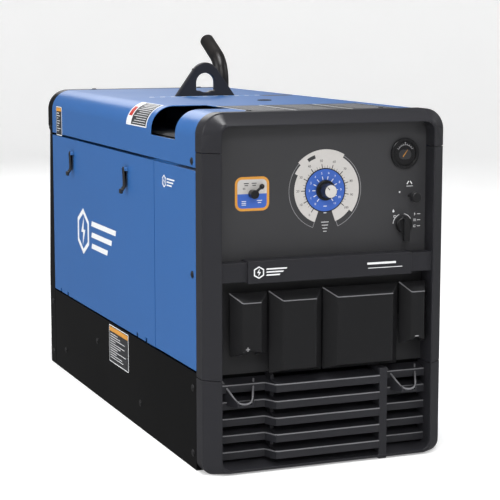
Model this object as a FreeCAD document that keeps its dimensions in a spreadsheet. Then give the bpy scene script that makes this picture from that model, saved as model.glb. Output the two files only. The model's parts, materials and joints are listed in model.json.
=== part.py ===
import FreeCAD, Part
import math
import os
import re
import Sketcher
from FreeCAD import Placement, Rotation, Vector

# Engine driven welder. +Z is up, the control panel faces -Y and +X is to its right.
# The origin is on the floor, in the middle of the case. Sizes are in millimetres.
# Places along the case are given as a distance back from the front lip.

SIZES = """
caseWidth 508 width over the side panels
caseLength 1143 front lip to rear face
bezelHeight 691 floor to the top of the front bezel
coverHeight 690 floor to the top of the roof
sheetWall 2 side panels and roof
baseWall 3 base pan
plasticWall 4 bezel mouldings
coverWall 3 swinging covers
shoulderRadius 48 roof shoulder
bezelRadius 42 bezel top corners
bezelFootRadius 22 bezel bottom corners
bezelDepth 58 bezel, front to back
bezelCrease 24 depth of the slanted bezel face
bezelInset 30 width of the slanted bezel face at the sides
bezelDrop 22 height of the slanted bezel face at the top
lipFoot 4 height of the front lip above the floor
recessInset 32 case side to recess wall
recessTop 24 bezel top to recess roof
recessRadius 20 recess corners
seamLow 185 joint between grille and middle bezel
seamHigh 617 joint between middle and top bezel
seamGap 1 gap in those joints
panelSetback 35 control panel behind the front lip
panelSheet 3 control panel thickness
panelFoot 409 bottom of the control panel
stripBottom 369 bottom of the cross strip
stripTop 412 top of the cross strip
stripLeft -170 left end of the raised strip
stripRight 176 right end of the raised strip
stripLug 6 how far the strip ends stand back
stripEdge 3 how much lower the strip ends are
receptacleSetback 46 receptacle panel behind the front lip
sideBottom 196 bottom of the side panels
sideTop 581 top of the side panels
seamSide 5.5 shadow gap under the roof
flangeDepth 20 inward flange of side panels
doorFront 304 joint between fixed panel and door
doorGap 2 gap around the door
baseHeight 192 height of the base pan
rearDepth 48 rear panel, front to back
rearThick 24 rear panel at its thinnest
rearLean 24 how far the rear panel leans out
rearLeanLow 230 height where the lean stops
rearLeanHigh 580 height where the lean starts
rearCap 15 depth of the rear cap
rearCapBottom 600 bottom of the rear cap
rearSlots 11 louvres in each column of the rear panel
slotHeight 9 height of one louvre
slotPitch 26 louvre spacing
rearSlotWidth 190 length of a rear louvre
rearSlotBottom 270 lowest rear louvre
sideSlotWidth 200 length of a side louvre
sideSlots 9 louvres in each group of the right side
sideSlotBottom 250 lowest side louvre
sideSlotFront 164 front louvre group, behind the lip
sideSlotRear 694 rear louvre group, behind the lip
fuelBayFront 174 front of the filler bay in the roof
fuelBayRear 323 rear of the filler bay
fuelBaySill 632 lowest edge of the filler bay
fuelBayInner -134 inner edge of the filler bay
baseBoltX 420 mounting holes, across
baseBoltY 760 mounting holes, along
baseBoltRadius 6.5 mounting hole
finCount 5 fins of the lower grille
finPitch 32.9 fin spacing
finTop 169.5 highest fin edge
finFace 15 height of a fin's face
finRise 8 how much a fin climbs to its back
finDepth 40 fin, front to back
finSide 29 how far the side fins stand back
finLeft -105 left end of the middle fins
finRight 109 right end of the middle fins
finBar 7 left post of the grille
finPost 17 right post of the grille
shelfRear 22 rear height of the bottom shelf
shelfFront 9 front height of the bottom shelf
spoutX 175 cable spout, from the middle
spoutLow 135 lowest point of the spout
spoutHigh 176 rear height of the spout
spoutFront 12 half width of the spout at the front
spoutRear 31 half width of the spout at the back
spoutDepth 44 cable spout, front to back
coverRim 23 rear rim of the covers, behind the lip
coverFace 1 front face of the covers, behind the lip
coverTop 350 top of the covers at the rim
coverFaceTop 332 top of the covers' front face
coverAxisBack 20 cover pivot, behind the lip
coverAxisHigh 334 cover pivot height
knuckleRadius 5 hinge knuckle
coverPinRadius 2.5 cover hinge pin
pinPlay 0.06 radial play on hinge pins
earWidth 10 hinge ear
knuckleWidth 9 one knuckle
knucklePlay 0.6 side play of a knuckle
earFoot 308 bottom of the hinge ear
earTop 320 top of the hinge ear's arm
stemRise 8 cover stem above the front face
coverOneLeft -200 left terminal cover
coverOneRight -121.5 left terminal cover
coverOneFaceLeft -180 its front face
coverOneFaceRight -142.5 its front face
coverTwoLeft -119.4 left receptacle cover
coverTwoRight -7 left receptacle cover
coverTwoFaceLeft -97 its front face
coverTwoFaceRight -27.6 its front face
coverThreeLeft -6.2 right receptacle cover
coverThreeRight 157 right receptacle cover
coverThreeFaceLeft 18 its front face
coverThreeFaceRight 136.5 its front face
coverFourLeft 160 right terminal cover
coverFourRight 221 right terminal cover
coverFourFaceLeft 178 its front face
coverFourFaceRight 206 its front face
coverLow 187 bottom of the receptacle covers
coverFaceLow 198 bottom of their front faces
coverShort 227 bottom of the terminal covers
coverShortFace 236 bottom of their front faces
cableArch 13 radius of the cable arch
dialX 4 output dial
dialZ 537 output dial
shaftRadius 4 control shafts
shaftPlay 0.06 radial play on control shafts
knobGap 1.5 knob to panel
knobRadius 15 output knob
knobTip 13 output knob at its tip
knobLength 26 output knob
knobSkirt 6 output knob's straight skirt
processX -148 process selector
processZ 536 process selector
processRadius 8.5 process selector
processLength 14 process selector
processArm 22 process selector lever
processAngle 50 process selector lever, from upright
processBall 5 process selector lever end
switchX 172 engine switch
switchZ 463 engine switch
switchRadius 16 engine switch base
switchLength 12 engine switch base
switchArm 32 engine switch lever
switchBar 12 engine switch lever width
switchRise 8 engine switch lever height
chokeX 187 choke knob
chokeZ 518 choke knob
chokeRadius 10 choke knob
chokeLength 14 choke knob
chokeStem 3 choke stem
chokeReach 33 choke knob stands out this far
gaugeX 174 fuel gauge
gaugeZ 603 fuel gauge
gaugeRadius 30 fuel gauge ring
gaugeFace 25 fuel gauge glass
gaugeRise 6 fuel gauge ring
gaugeBack 22 fuel gauge body
shaftTail 24 control shaft behind the panel
studX 161 left weld stud
studRightX 190 right weld stud
studZ 278 weld studs
studRadius 5 weld stud
studShank 6 weld stud through its nut, insulator and panel
studLength 24 weld stud in front of its insulator
insulatorRadius 18 stud insulator
insulatorRise 6 stud insulator
nutRadius 10 stud nut
nutThick 8 stud nut
duplexX -63 duplex receptacle
duplexZ 258 duplex receptacle
duplexWidth 34 duplex receptacle
duplexHeight 70 duplex receptacle
duplexRise 7 duplex receptacle
buttonWide 8 test and reset buttons
buttonTall 5 test and reset buttons
buttonRise 3 button above the receptacle face
buttonPlay 0.4 gap around a button
buttonSpread 6 button from the middle
powerX 110 power receptacle
powerZ 250 power receptacle
powerRadius 27 power receptacle
powerRise 8 power receptacle
breakerX 32 circuit breakers
breakerZ 225 lowest circuit breaker
breakerPitch 32 circuit breaker spacing
breakerRadius 8 circuit breaker nut
breakerRise 7 circuit breaker nut
breakerCount 3 circuit breakers
doorAxisIn 6.5 door pivot, in from the side
doorAxisHigh 200 door pivot height
doorPinRadius 2 door hinge pin
doorKnuckle 3.6 door hinge knuckle
doorKnuckleWide 50 door hinge knuckle
doorHingeInset 90 hinge, in from the door's ends
hingeLeaf 30 hinge leaf down the base pan
latchFront 487 front latch, behind the lip
latchRear 913 rear latch, behind the lip
latchTop 556 top of the latch lever
latchLow 496 bottom of the latch lever
latchWide 14 latch lever
latchThick 5 latch lever
latchFlare 16 latch lever stands out at its end
latchPin 2 latch pin
latchKick 10 kicked end of the latch lever
latchFoot 4 start of its slope, above the end
latchSlope 12 height of its slope
latchHead 1.5 lever above its pin
latchEar 4 latch ear
latchAxisOut 5 latch pivot, out from the door
latchAxisDown 7 latch pivot below the lever's top
bailAt 693 lifting eye, behind the lip
bailThick 12 lifting eye plate
bailTop 766 top of the lifting eye
bailBase 144 lifting eye at its base
bailRound 34 lifting eye crown
bailShoulder 55 lifting eye where its crown begins
bailFlare 62 height of the slanted sides
bailSlotPlay 2 roof slot around the lifting eye
bailHole 22 lifting eye hole, half width
bailHoleTop 742 top of the hole
bailHoleLow 702 bottom of the hole
beamTop 680 top of the lifting beam
beamTall 60 lifting beam
uprightThick 8 lifting upright
uprightWide 60 lifting upright
uprightGap 1.5 side flange to upright
exhaustX 105 exhaust stack
exhaustAt 860 exhaust stack, behind the lip
exhaustRadius 17 exhaust stack
exhaustWall 2 exhaust stack
exhaustSunk 3 how far the stack enters the muffler
exhaustRise 716 height where the stack bends
exhaustBend 70 bend radius
exhaustAngle 62 bend angle
exhaustTail 72 straight end of the stack
exhaustHole 24 roof hole around the stack
mufflerRadius 60 muffler
mufflerLeft -60 muffler, left end
mufflerRight 200 muffler, right end
mufflerHigh 560 muffler axis
mufflerAt 872 muffler axis, behind the lip
tankFront 110 fuel tank
tankRear 640 fuel tank
tankLeft -232 fuel tank
tankStep -112 step in the fuel tank
tankRight 215 fuel tank
tankLow 560 fuel tank bottom
tankShoulder 634 fuel tank shoulder
tankTop 672 fuel tank top
tankRound 16 fuel tank corners
tankWall 4 fuel tank wall
fillerX -178 filler neck
fillerAt 226 filler neck, behind the lip
fillerRadius 21 filler neck
fillerTop 648 filler neck top
capRadius 30 fuel cap
capTop 682 fuel cap top
capSkirt 640 fuel cap skirt
capRibs 18 ribs round the fuel cap
capRib 3 width of a rib
capRim 6 smooth rim above the ribs
gasketThick 3 fuel cap gasket
capPlay 1 gap round the filler neck
crankHigh 300 crankshaft height
journalRadius 15 shaft in the bearing
crankRadius 20 crankshaft
shaftFront 165 front of the crankshaft
bearingFront 174 bearing
bearingWidth 16 bearing
bearingRadius 31 bearing
statorFront 200 generator stator
statorRear 420 generator stator
statorRadius 150 generator stator
statorBore 98 generator stator
bellDepth 30 generator end bell
rotorRadius 96.5 generator rotor
rotorInset 10 rotor inside the stator ends
adapterWall 12 generator to engine adapter
engineFront 521 crankcase
engineRear 770 crankcase
engineHalf 110 crankcase half width
engineDiagonal 130 crankcase to cylinder face
engineDown 95 shaft to crankcase bottom
engineUp 100 shaft to crankcase top
engineWall 8 crankcase wall
webRadius 45 crank web
webThick 18 crank web
barrelLength 88 cylinder barrel
barrelRadius 42 cylinder barrel
barrelFin 54 cylinder fin
barrelFins 7 fins on each barrel
barrelFinThick 3 cylinder fin
barrelLeftAt 612 left cylinder, behind the lip
barrelRightAt 680 right cylinder, behind the lip
headWide 100 cylinder head
headTall 50 cylinder head
flywheelAt 790 flywheel
flywheelRadius 138 flywheel
flywheelThick 14 flywheel
fanBlades 12 fan blades
fanBladeTall 24 fan blade
blowerFront 778 blower housing
blowerRear 846 blower housing
blowerRadius 158 blower housing
blowerInlet 110 blower inlet
shaftRoom 10 gap round the shaft in the housings
roofCut 30 how far the roof's holes reach up
cleanerRadius 68 air cleaner
cleanerAt 645 air cleaner, behind the lip
cleanerTall 86 air cleaner
cleanerLid 72 air cleaner lid
cleanerLidTall 26 air cleaner lid
carbWide 56 carburettor
carbLong 60 carburettor
carbTall 49 carburettor
filterRadius 38 oil filter
filterLength 82 oil filter
filterAt 572 oil filter, behind the lip
filterDown 38 oil filter below the shaft
starterRadius 34 starter motor
starterX -147 starter motor
starterDown 38 starter motor below the shaft
starterFront 640 starter motor
starterLength 130 starter motor
dipX -132 dipstick
dipAt 715 dipstick, behind the lip
dipUp 72 shaft to the dipstick tube's foot
dipLong 98 dipstick tube
dipTube 8 dipstick tube
dipBore 5 dipstick tube bore
dipRod 2.5 dipstick
dipGrip 11 dipstick grip
batteryLeft -236 battery
batteryWide 132 battery
batteryFront 900 battery
batteryLong 172 battery
batteryLow 12 battery
batteryTall 175 battery
postRadius 8 battery post
postTall 14 battery post
railWide 50 engine rail
railDown 240 engine rail, below the crankshaft
railTall 30 engine rail
railFront 310 front rail, behind the lip
railRear 600 rear rail, behind the lip
mountX 90 rubber mount, from the middle
mountRadius 22 rubber mount
mountTall 35 rubber mount
mountTaper 0.8 rubber mount, top radius against the bottom
saddleRise 30 how far the front mounts reach up the generator
reactorLeft 40 weld reactor
reactorWide 150 weld reactor
reactorFront 76 weld reactor
reactorLong 78 weld reactor
reactorTall 120 weld reactor
reactorCore 24 weld reactor leg
screwRadius 6 screw head
screwRise 2.5 screw head
screwTaper 0.7 screw head, top radius against the bottom
screwSideHigh 598 roof screws on the sides
screwFrontHigh 381 panel screws at the front edge
screwFrontBehind 19 front edge screws, behind the bezel
screwRearIn 28 rear edge screws, from the rear edge
screwTopX 140 roof screws, from the middle
screwBaseHigh 160 base pan screws at the ends
screwBaseLow 31 base pan screws at the ends
screwMiddleAt 726 base pan screw at the middle, behind the lip
screwMiddleHigh 130 base pan screw at the middle
screwTrayFront 407 battery tray screw, behind the lip
screwTrayRear 1001 battery tray screw, behind the lip
screwTrayHigh 55 battery tray screws
screwTopBehind 14 front roof screws, behind the bezel
plugX 44 roof plug
plugAt 440 roof plug, behind the lip
plugRadius 11 roof plug
"""

doc = FreeCAD.newDocument("EngineDrivenWelder")
sheet = doc.addObject("Spreadsheet::Sheet", "Sizes")
aliases = set()
for row, line in enumerate(SIZES.strip().splitlines(), 1):
    alias, size, note = line.split(None, 2)
    sheet.set("A%d" % row, note)
    sheet.set("B%d" % row, size)
    sheet.setAlias("B%d" % row, alias)
    aliases.add(alias)
doc.recompute()

X_AXIS = Vector(1, 0, 0)
Y_AXIS = Vector(0, 1, 0)
Z_AXIS = Vector(0, 0, 1)
UPRIGHT = Rotation()
ALONG_Y = Rotation(X_AXIS, -90)
ALONG_X = Rotation(Y_AXIS, 90)
TINY = 0.01
nodes = []


def formula(text):
    """Writes the sheet's name before each of its aliases."""
    return re.sub(r"[A-Za-z]+", lambda word: ("Sizes." if word.group() in aliases else "") + word.group(),
                  text)


def number(text):
    """The value of a formula."""
    return float(sheet.evalExpression(formula(text)))


def back(text):
    """A distance behind the front lip, as a place along Y."""
    return "(%s) - caseLength / 2" % text


def place(item, at, turn=UPRIGHT):
    """Puts an object at three formulas, turned as given."""
    item.Placement = Placement(Vector(), turn)
    for axis, text in zip("xyz", at):
        item.setExpression("Placement.Base." + axis, formula(text))
    return item


def box(name, low, high):
    """A box between two corners."""
    item = doc.addObject("Part::Box", name)
    for side, start, end in zip(("Length", "Width", "Height"), low, high):
        item.setExpression(side, formula("(%s) - (%s)" % (end, start)))
    return place(item, low)


def cylinder(name, at, radius, length, turn=UPRIGHT):
    """A cylinder that starts at a point and runs along its own axis."""
    item = doc.addObject("Part::Cylinder", name)
    item.setExpression("Radius", formula(radius))
    item.setExpression("Height", formula(length))
    return place(item, at, turn)


def cone(name, at, radius, tip, length, turn=UPRIGHT):
    """A cone that starts at a point and narrows to its tip."""
    item = doc.addObject("Part::Cone", name)
    item.setExpression("Radius1", formula(radius))
    item.setExpression("Radius2", formula(tip))
    item.setExpression("Height", formula(length))
    return place(item, at, turn)


def frustum(name, front, rear, low, high):
    """A block from one rectangle at the front to another at the back, both given in X and Z."""
    item = doc.addObject("Part::Wedge", name)
    for field, text in zip(("Xmin", "Xmax", "Zmin", "Zmax"), front):
        item.setExpression(field, formula(text))
    for field, text in zip(("X2min", "X2max", "Z2min", "Z2max"), rear):
        item.setExpression(field, formula(text))
    item.setExpression("Ymin", formula(low))
    item.setExpression("Ymax", formula(high))
    return item


def fuse(name, items):
    """One solid from several."""
    item = doc.addObject("Part::MultiFuse", name)
    item.Shapes = items
    item.Refine = True
    return item


def cut(name, base, tools):
    """A solid less other solids."""
    item = doc.addObject("Part::Cut", name)
    item.Base = base
    item.Tool = tools[0] if len(tools) == 1 else fuse(name + "_tools", tools)
    item.Refine = True
    return item


def common(name, first, second):
    """What two solids share."""
    item = doc.addObject("Part::Common", name)
    item.Base = first
    item.Tool = second
    item.Refine = True
    return item


def group(name, items):
    """Separate solids kept in one object."""
    item = doc.addObject("Part::Compound", name)
    item.Links = items
    return item


def along(edge, axis):
    """True for a straight edge along an axis."""
    straight = edge.Curve.TypeId == "Part::GeomLine"
    return straight and abs(abs(edge.tangentAt(edge.FirstParameter).dot(axis)) - 1) < TINY


def rounded(name, item, radius, keep):
    """A fillet on the edges that a test keeps."""
    doc.recompute()
    size = number(radius)
    fillet = doc.addObject("Part::Fillet", name)
    fillet.Base = item
    fillet.Edges = [(i, size, size) for i, edge in enumerate(item.Shape.Edges, 1) if keep(edge)]
    return fillet


def roundedBox(name, low, high, radius, axis):
    """A box whose edges along one axis are rounded."""
    return rounded(name, box(name + "_block", low, high), radius, lambda edge: along(edge, axis))


def node(name, item):
    """Names the finished sub-part."""
    item.Label = name
    nodes.append(item)
    return item


# Front bezel: one hollow ring with a slanted face, sawn into three mouldings.
def outline(name, at, half, low, high, topRadius, footRadius):
    """An upright rounded rectangle as a sketch, with its own radii at the top and at the foot."""
    sketch = doc.addObject("Sketcher::SketchObject", name)
    a, b, c, r, f = (number(text) for text in (half, low, high, topRadius, footRadius))
    corners = [Vector(-a, b, 0), Vector(a, b, 0), Vector(a, c, 0), Vector(-a, c, 0)]
    radii = [f, f, r, r]
    ahead = [X_AXIS, Y_AXIS, -X_AXIS, -Y_AXIS]
    for i in range(4):
        j = (i + 1) % 4
        sketch.addGeometry(Part.LineSegment(corners[i] + ahead[i] * radii[i],
                                            corners[j] - ahead[i] * radii[j]))
    for i in range(4):
        middle = corners[i] + ahead[i] * radii[i] - ahead[i - 1] * radii[i]
        turn = math.pi * (i / 2 + 1)
        circle = Part.Circle(middle, Z_AXIS, radii[i])
        sketch.addGeometry(Part.ArcOfCircle(circle, turn, turn + math.pi / 2))
    for i in range(4):
        sketch.addConstraint(Sketcher.Constraint("Tangent", (i - 1) % 4, 2, i + 4, 1))
        sketch.addConstraint(Sketcher.Constraint("Tangent", i + 4, 2, i, 1))
        sketch.addConstraint(Sketcher.Constraint("Vertical" if i % 2 else "Horizontal", i))
    for i, text in enumerate((footRadius, footRadius, topRadius, topRadius)):
        index = sketch.addConstraint(Sketcher.Constraint("Radius", i + 4, radii[i]))
        sketch.setExpression("Constraints[%d]" % index, formula(text))
    for kind, line, size, text in (("DistanceX", 3, -a, "-(%s)" % half), ("DistanceX", 1, a, half),
                                   ("DistanceY", 0, b, low), ("DistanceY", 2, c, high)):
        index = sketch.addConstraint(Sketcher.Constraint(kind, -1, 1, line, 1, size))
        sketch.setExpression("Constraints[%d]" % index, formula(text))
    return place(sketch, ("0", back(at), "0"), Rotation(X_AXIS, 90))


def bezelBody():
    """The ring's outside: a straight part behind the crease and a slanted face before it."""
    full = ("caseWidth / 2", "0", "bezelHeight", "bezelRadius", "bezelFootRadius")
    drawn = ("caseWidth / 2 - bezelInset", "lipFoot", "bezelHeight - bezelDrop", "bezelRadius - bezelInset",
             "bezelFootRadius - lipFoot")
    places = (("straight", "bezelDepth", full, "bezelCrease", full), ("slanted", "bezelCrease", full, "0",
                                                                      drawn))
    parts = []
    for name, rear, rearShape, front, frontShape in places:
        loft = doc.addObject("Part::Loft", "ring_" + name)
        loft.Sections = [outline("%s_rear" % name, rear, *rearShape), outline("%s_front" % name, front,
                                                                              *frontShape)]
        loft.Solid = True
        loft.Ruled = True
        parts.append(loft)
    return fuse("ring_body", parts)


def bezelRing():
    recess = roundedBox("ring_recess", ("-caseWidth / 2 + recessInset", back("-1"), "shelfFront"),
                        ("caseWidth / 2 - recessInset", back("bezelDepth + 1"), "bezelHeight - recessTop"),
                        "recessRadius", Y_AXIS)
    shell = roundedBox("ring_channel_out", ("-caseWidth / 2 + plasticWall", back("bezelCrease + plasticWall"),
                                            "plasticWall"),
                       ("caseWidth / 2 - plasticWall", back("bezelDepth + 1"), "bezelHeight - plasticWall"),
                       "bezelRadius - plasticWall", Y_AXIS)
    keep = roundedBox("ring_channel_in", ("-caseWidth / 2 + recessInset - plasticWall", back("-1"), "0"),
                      ("caseWidth / 2 - recessInset + plasticWall", back("bezelDepth + 2"),
                       "bezelHeight - recessTop + plasticWall"), "recessRadius", Y_AXIS)
    channel = cut("ring_channel", shell, [keep])
    return cut("ring", body, [recess, channel])


def slab(name, low, high):
    """A slice of the whole bezel between two heights."""
    return box(name, ("-caseWidth", back("-2"), low), ("caseWidth", back("bezelDepth + 2"), high))


body = bezelBody()
ring = bezelRing()
node("bezel_top", common("bezel_top_part", ring, slab("bezel_top_slab", "seamHigh + seamGap / 2",
                                                      "bezelHeight + 1")))

sides = common("bezel_middle_sides", ring, slab("bezel_middle_slab", "seamLow + seamGap / 2",
                                                "seamHigh - seamGap / 2"))
strip = fuse("strip", [
    box("strip_middle", ("stripLeft", back("0"), "stripBottom"), ("stripRight", back("panelSetback"),
                                                                  "stripTop")),
    box("strip_lugs", ("-caseWidth / 2 + recessInset - seamGap", back("stripLug"),
                       "stripBottom + stripEdge"),
        ("caseWidth / 2 - recessInset + seamGap", back("panelSetback"), "panelFoot"))])
hollow = box("strip_hollow", ("stripLeft + plasticWall", back("plasticWall"), "stripBottom + plasticWall"),
             ("stripRight - plasticWall", back("panelSetback + 1"), "panelFoot - plasticWall"))
node("bezel_middle", fuse("bezel_middle_part", [sides, cut("strip_shell", strip, [hollow])]))


def fins(name, left, right, front, rear):
    """A stack of sloping fins."""
    items = []
    for i in range(int(number("finCount"))):
        base = "finTop - finFace - %d * finPitch" % i
        item = frustum("%s_%d" % (name, i), (left, right, "0", "finFace"), (left, right, "finRise",
                                                                            "finFace + finRise"),
                       "0", "(%s) - (%s)" % (rear, front))
        items.append(place(item, ("0", back(front), base)))
    return items


def spout(name, middle):
    """A cable rest: a trough that widens and climbs towards the back."""
    outer = frustum(name + "_out", ("-spoutFront - plasticWall", "spoutFront + plasticWall", "-plasticWall",
                                    "plasticWall"),
                    ("-spoutRear - plasticWall", "spoutRear + plasticWall", "-plasticWall",
                     "spoutHigh - spoutLow"),
                    "0", "spoutDepth")
    inner = frustum(name + "_in", ("-spoutFront", "spoutFront", "0", "2 * plasticWall"),
                    ("-spoutRear", "spoutRear", "0",
                     "spoutHigh - spoutLow + plasticWall"), "-1", "spoutDepth + 1")
    place(outer, (middle, back("0"), "spoutLow"))
    place(inner, (middle, back("0"), "spoutLow"))
    return cut(name, outer, [inner])


def lowerGrille():
    edge = "caseWidth / 2 - recessInset + 1"
    lower = common("grille_ring", ring, slab("grille_slab", "-1", "seamLow - seamGap / 2"))
    shelf = frustum("grille_shelf", ("-(%s)" % edge, edge, "0", "shelfFront"), ("-(%s)" % edge, edge, "0",
                                                                                "shelfRear"),
                    "0", "bezelDepth")
    shelf = common("grille_shelf_fit", body, place(shelf, ("0", back("0"), "0")))
    posts = [
        box("grille_bar", ("finLeft - finBar", back("finSide"), "1"),
            ("finLeft", back("bezelDepth"), "seamLow - seamGap / 2")),
        box("grille_post", ("finRight", back("coverFace"), "1"),
            ("finRight + finPost", back("bezelDepth"), "seamLow - seamGap / 2"))]
    middle = fins("grille_fin", "finLeft - finBar", "finRight + 1", "0", "finDepth")
    left = fins("grille_left", "-(%s)" % edge, "finLeft - finBar + 1", "finSide", "bezelDepth")
    right = fins("grille_right", "finRight + finPost - 1", edge, "finSide", "bezelDepth")
    spouts = [spout("spout_left", "-spoutX"), spout("spout_right", "spoutX")]
    return fuse("lower_grille_part", [lower, shelf] + posts + middle + left + right + spouts)


node("lower_grille", lowerGrille())


# Panels behind the bezel opening.
def flatPanel(name, setback, low, high, holes):
    """An upright sheet across the recess."""
    sheetPart = box(name + "_sheet", ("-caseWidth / 2 + recessInset", back(setback), low),
                    ("caseWidth / 2 - recessInset", back("%s + panelSheet" % setback), high))
    return cut(name + "_part", sheetPart, holes)


def panelHole(name, across, high, radius, setback):
    """A round hole through an upright sheet."""
    return cylinder(name, (across, back("%s - 1" % setback), high), radius, "panelSheet + 2", ALONG_Y)


controlHoles = [
    panelHole("dial_hole", "dialX", "dialZ", "shaftRadius + shaftPlay", "panelSetback"),
    panelHole("process_hole", "processX", "processZ", "shaftRadius + shaftPlay", "panelSetback"),
    panelHole("switch_hole", "switchX", "switchZ", "shaftRadius + shaftPlay", "panelSetback"),
    panelHole("choke_hole", "chokeX", "chokeZ", "chokeStem + shaftPlay", "panelSetback"),
    panelHole("gauge_hole", "gaugeX", "gaugeZ", "gaugeFace", "panelSetback")]
panelBlank = flatPanel("control_panel", "panelSetback", "panelFoot", "bezelHeight - recessTop", controlHoles)
panelMiddle = number("panelFoot + 1")
node("control_panel", rounded("control_panel_round", panelBlank, "recessRadius",
                              lambda edge: along(edge, Y_AXIS) and edge.CenterOfMass.z > panelMiddle))

COVERS = {
    "terminal_cover_left": ("coverOne", "coverShort", "coverShortFace"),
    "receptacle_cover_left": ("coverTwo", "coverLow", "coverFaceLow"),
    "receptacle_cover_right": ("coverThree", "coverLow", "coverFaceLow"),
    "terminal_cover_right": ("coverFour", "coverShort", "coverShortFace"),
}


def coverMiddle(side):
    return "(%sLeft + %sRight) / 2" % (side, side)


def coverEar(name, side):
    """A fixed ear under a cover, which holds its hinge pin."""
    middle = coverMiddle(side)
    arm = box(name + "_arm", ("%s - earWidth / 2" % middle, back("coverAxisBack - knuckleRadius"), "earFoot"),
              ("%s + earWidth / 2" % middle, back("receptacleSetback + 1"), "earTop"))
    neck = box(name + "_neck", ("%s - earWidth / 2" % middle, back("coverAxisBack - knuckleRadius"),
                                "earFoot"),
               ("%s + earWidth / 2" % middle, back("coverAxisBack + knuckleRadius"), "coverAxisHigh"))
    eye = cylinder(name + "_eye", ("%s - earWidth / 2" % middle, back("coverAxisBack"), "coverAxisHigh"),
                   "knuckleRadius", "earWidth", ALONG_X)
    hole = cylinder(name + "_hole", ("%s - earWidth" % middle, back("coverAxisBack"), "coverAxisHigh"),
                    "coverPinRadius", "2 * earWidth", ALONG_X)
    return cut(name, fuse(name + "_solid", [arm, neck, eye]), [hole])


def coverPin(name, side):
    reach = "earWidth / 2 + knucklePlay + knuckleWidth"
    return cylinder(name, ("%s - (%s)" % (coverMiddle(side), reach), back("coverAxisBack"), "coverAxisHigh"),
                    "coverPinRadius", "2 * (%s)" % reach, ALONG_X)


def swingingCover(name, side, low, faceLow):
    """A tapered box, open at the back, with two hinge knuckles under its top."""
    def shell(part, wall):
        shape = frustum(part, ("%sFaceLeft + %s" % (side, wall), "%sFaceRight - %s" % (side, wall),
                               "%s + %s" % (faceLow, wall), "coverFaceTop - %s" % wall),
                        ("%sLeft + %s" % (side, wall), "%sRight - %s" % (side, wall),
                         "%s + %s" % (low, wall), "coverTop - %s" % wall),
                        "0", "coverRim - coverFace")
        return shape
    outer = place(shell(name + "_out", "0"), ("0", back("coverFace"), "0"))
    inner = place(shell(name + "_in", "coverWall"), ("0", back("coverFace + coverWall"), "0"))
    pieces = [cut(name + "_shell", outer, [inner])]
    bores = []
    for end in (-1, 1):
        start = "%s + %d * (earWidth / 2 + knucklePlay)" % (coverMiddle(side), end)
        if end < 0:
            start += " - knuckleWidth"
        tag = "%s_%s" % (name, "left" if end < 0 else "right")
        web = box(tag + "_web", (start, back("coverAxisBack - knuckleRadius"), "coverAxisHigh"),
                  ("%s + knuckleWidth" % start, back("coverAxisBack + 1"), "coverFaceTop + stemRise"))
        pieces.append(common(tag + "_stem", web, outer))
        pieces.append(cylinder(tag + "_knuckle", (start, back("coverAxisBack"), "coverAxisHigh"),
                               "knuckleRadius", "knuckleWidth", ALONG_X))
        bores.append(cylinder(tag + "_bore", ("%s - 1" % start, back("coverAxisBack"), "coverAxisHigh"),
                              "coverPinRadius + pinPlay", "knuckleWidth + 2", ALONG_X))
    if low == "coverShort":
        bores.append(cylinder(name + "_arch", (coverMiddle(side), back("0"), low), "cableArch",
                              "coverRim + 1", ALONG_Y))
    return cut(name + "_part", fuse(name + "_solid", pieces), bores)


ears = [coverEar("ear_%d" % i, side) for i, (side, low, faceLow) in enumerate(COVERS.values())]
studHoles = [
    panelHole("stud_hole_left", "-studX", "studZ", "studShank", "receptacleSetback"),
    panelHole("stud_hole_right", "studRightX", "studZ", "studShank", "receptacleSetback")]
receptacleBlank = flatPanel("receptacle_panel", "receptacleSetback", "coverLow", "stripBottom + stripEdge",
                            studHoles)
node("receptacle_panel", fuse("receptacle_panel_eared", [receptacleBlank] + ears))
node("cover_hinge_pins", group("cover_hinge_pins_group",
                               [coverPin("cover_pin_%d" % i, side) for i, (side, low, faceLow) in
                                enumerate(COVERS.values())]))
for name, (side, low, faceLow) in COVERS.items():
    node(name, swingingCover(name, side, low, faceLow))


# Weld terminals, receptacles and breakers on the receptacle panel.
def onPanel(name, across, high, radius, rise, lift="0"):
    """A round piece that stands out of the receptacle panel."""
    return cylinder(name, (across, back("receptacleSetback - (%s) - (%s)" % (lift, rise)), high), radius,
                    rise, ALONG_Y)


studs = []
insulators = []
nuts = []
for tag, across in (("left", "-studX"), ("right", "studRightX")):
    studs.append(fuse("stud_" + tag, [
        cylinder("stud_thread_" + tag, (across, back("receptacleSetback - insulatorRise - studLength"),
                                        "studZ"),
                 "studRadius", "studLength", ALONG_Y),
        cylinder("stud_shank_" + tag, (across, back("receptacleSetback - insulatorRise - nutThick"), "studZ"),
                 "studShank", "nutThick + insulatorRise + 3 * panelSheet", ALONG_Y)]))
    washer = onPanel("insulator_disc_" + tag, across, "studZ", "insulatorRadius", "insulatorRise")
    washerHole = onPanel("insulator_hole_" + tag, across, "studZ", "studShank", "insulatorRise + 2", "-1")
    insulators.append(cut("insulator_" + tag, washer, [washerHole]))
    hexagon = doc.addObject("Part::Prism", "nut_hex_" + tag)
    hexagon.Polygon = 6
    hexagon.setExpression("Circumradius", formula("nutRadius"))
    hexagon.setExpression("Height", formula("nutThick"))
    place(hexagon, (across, back("receptacleSetback - insulatorRise - nutThick"), "studZ"), ALONG_Y)
    hole = cylinder("nut_hole_" + tag, (across, back("receptacleSetback - insulatorRise - nutThick - 1"),
                                        "studZ"),
                    "studShank", "nutThick + 2", ALONG_Y)
    nuts.append(cut("nut_" + tag, hexagon, [hole]))
node("weld_studs", group("weld_studs_group", studs))
node("stud_insulators", group("stud_insulators_group", insulators))
node("stud_nuts", group("stud_nuts_group", nuts))


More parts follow.
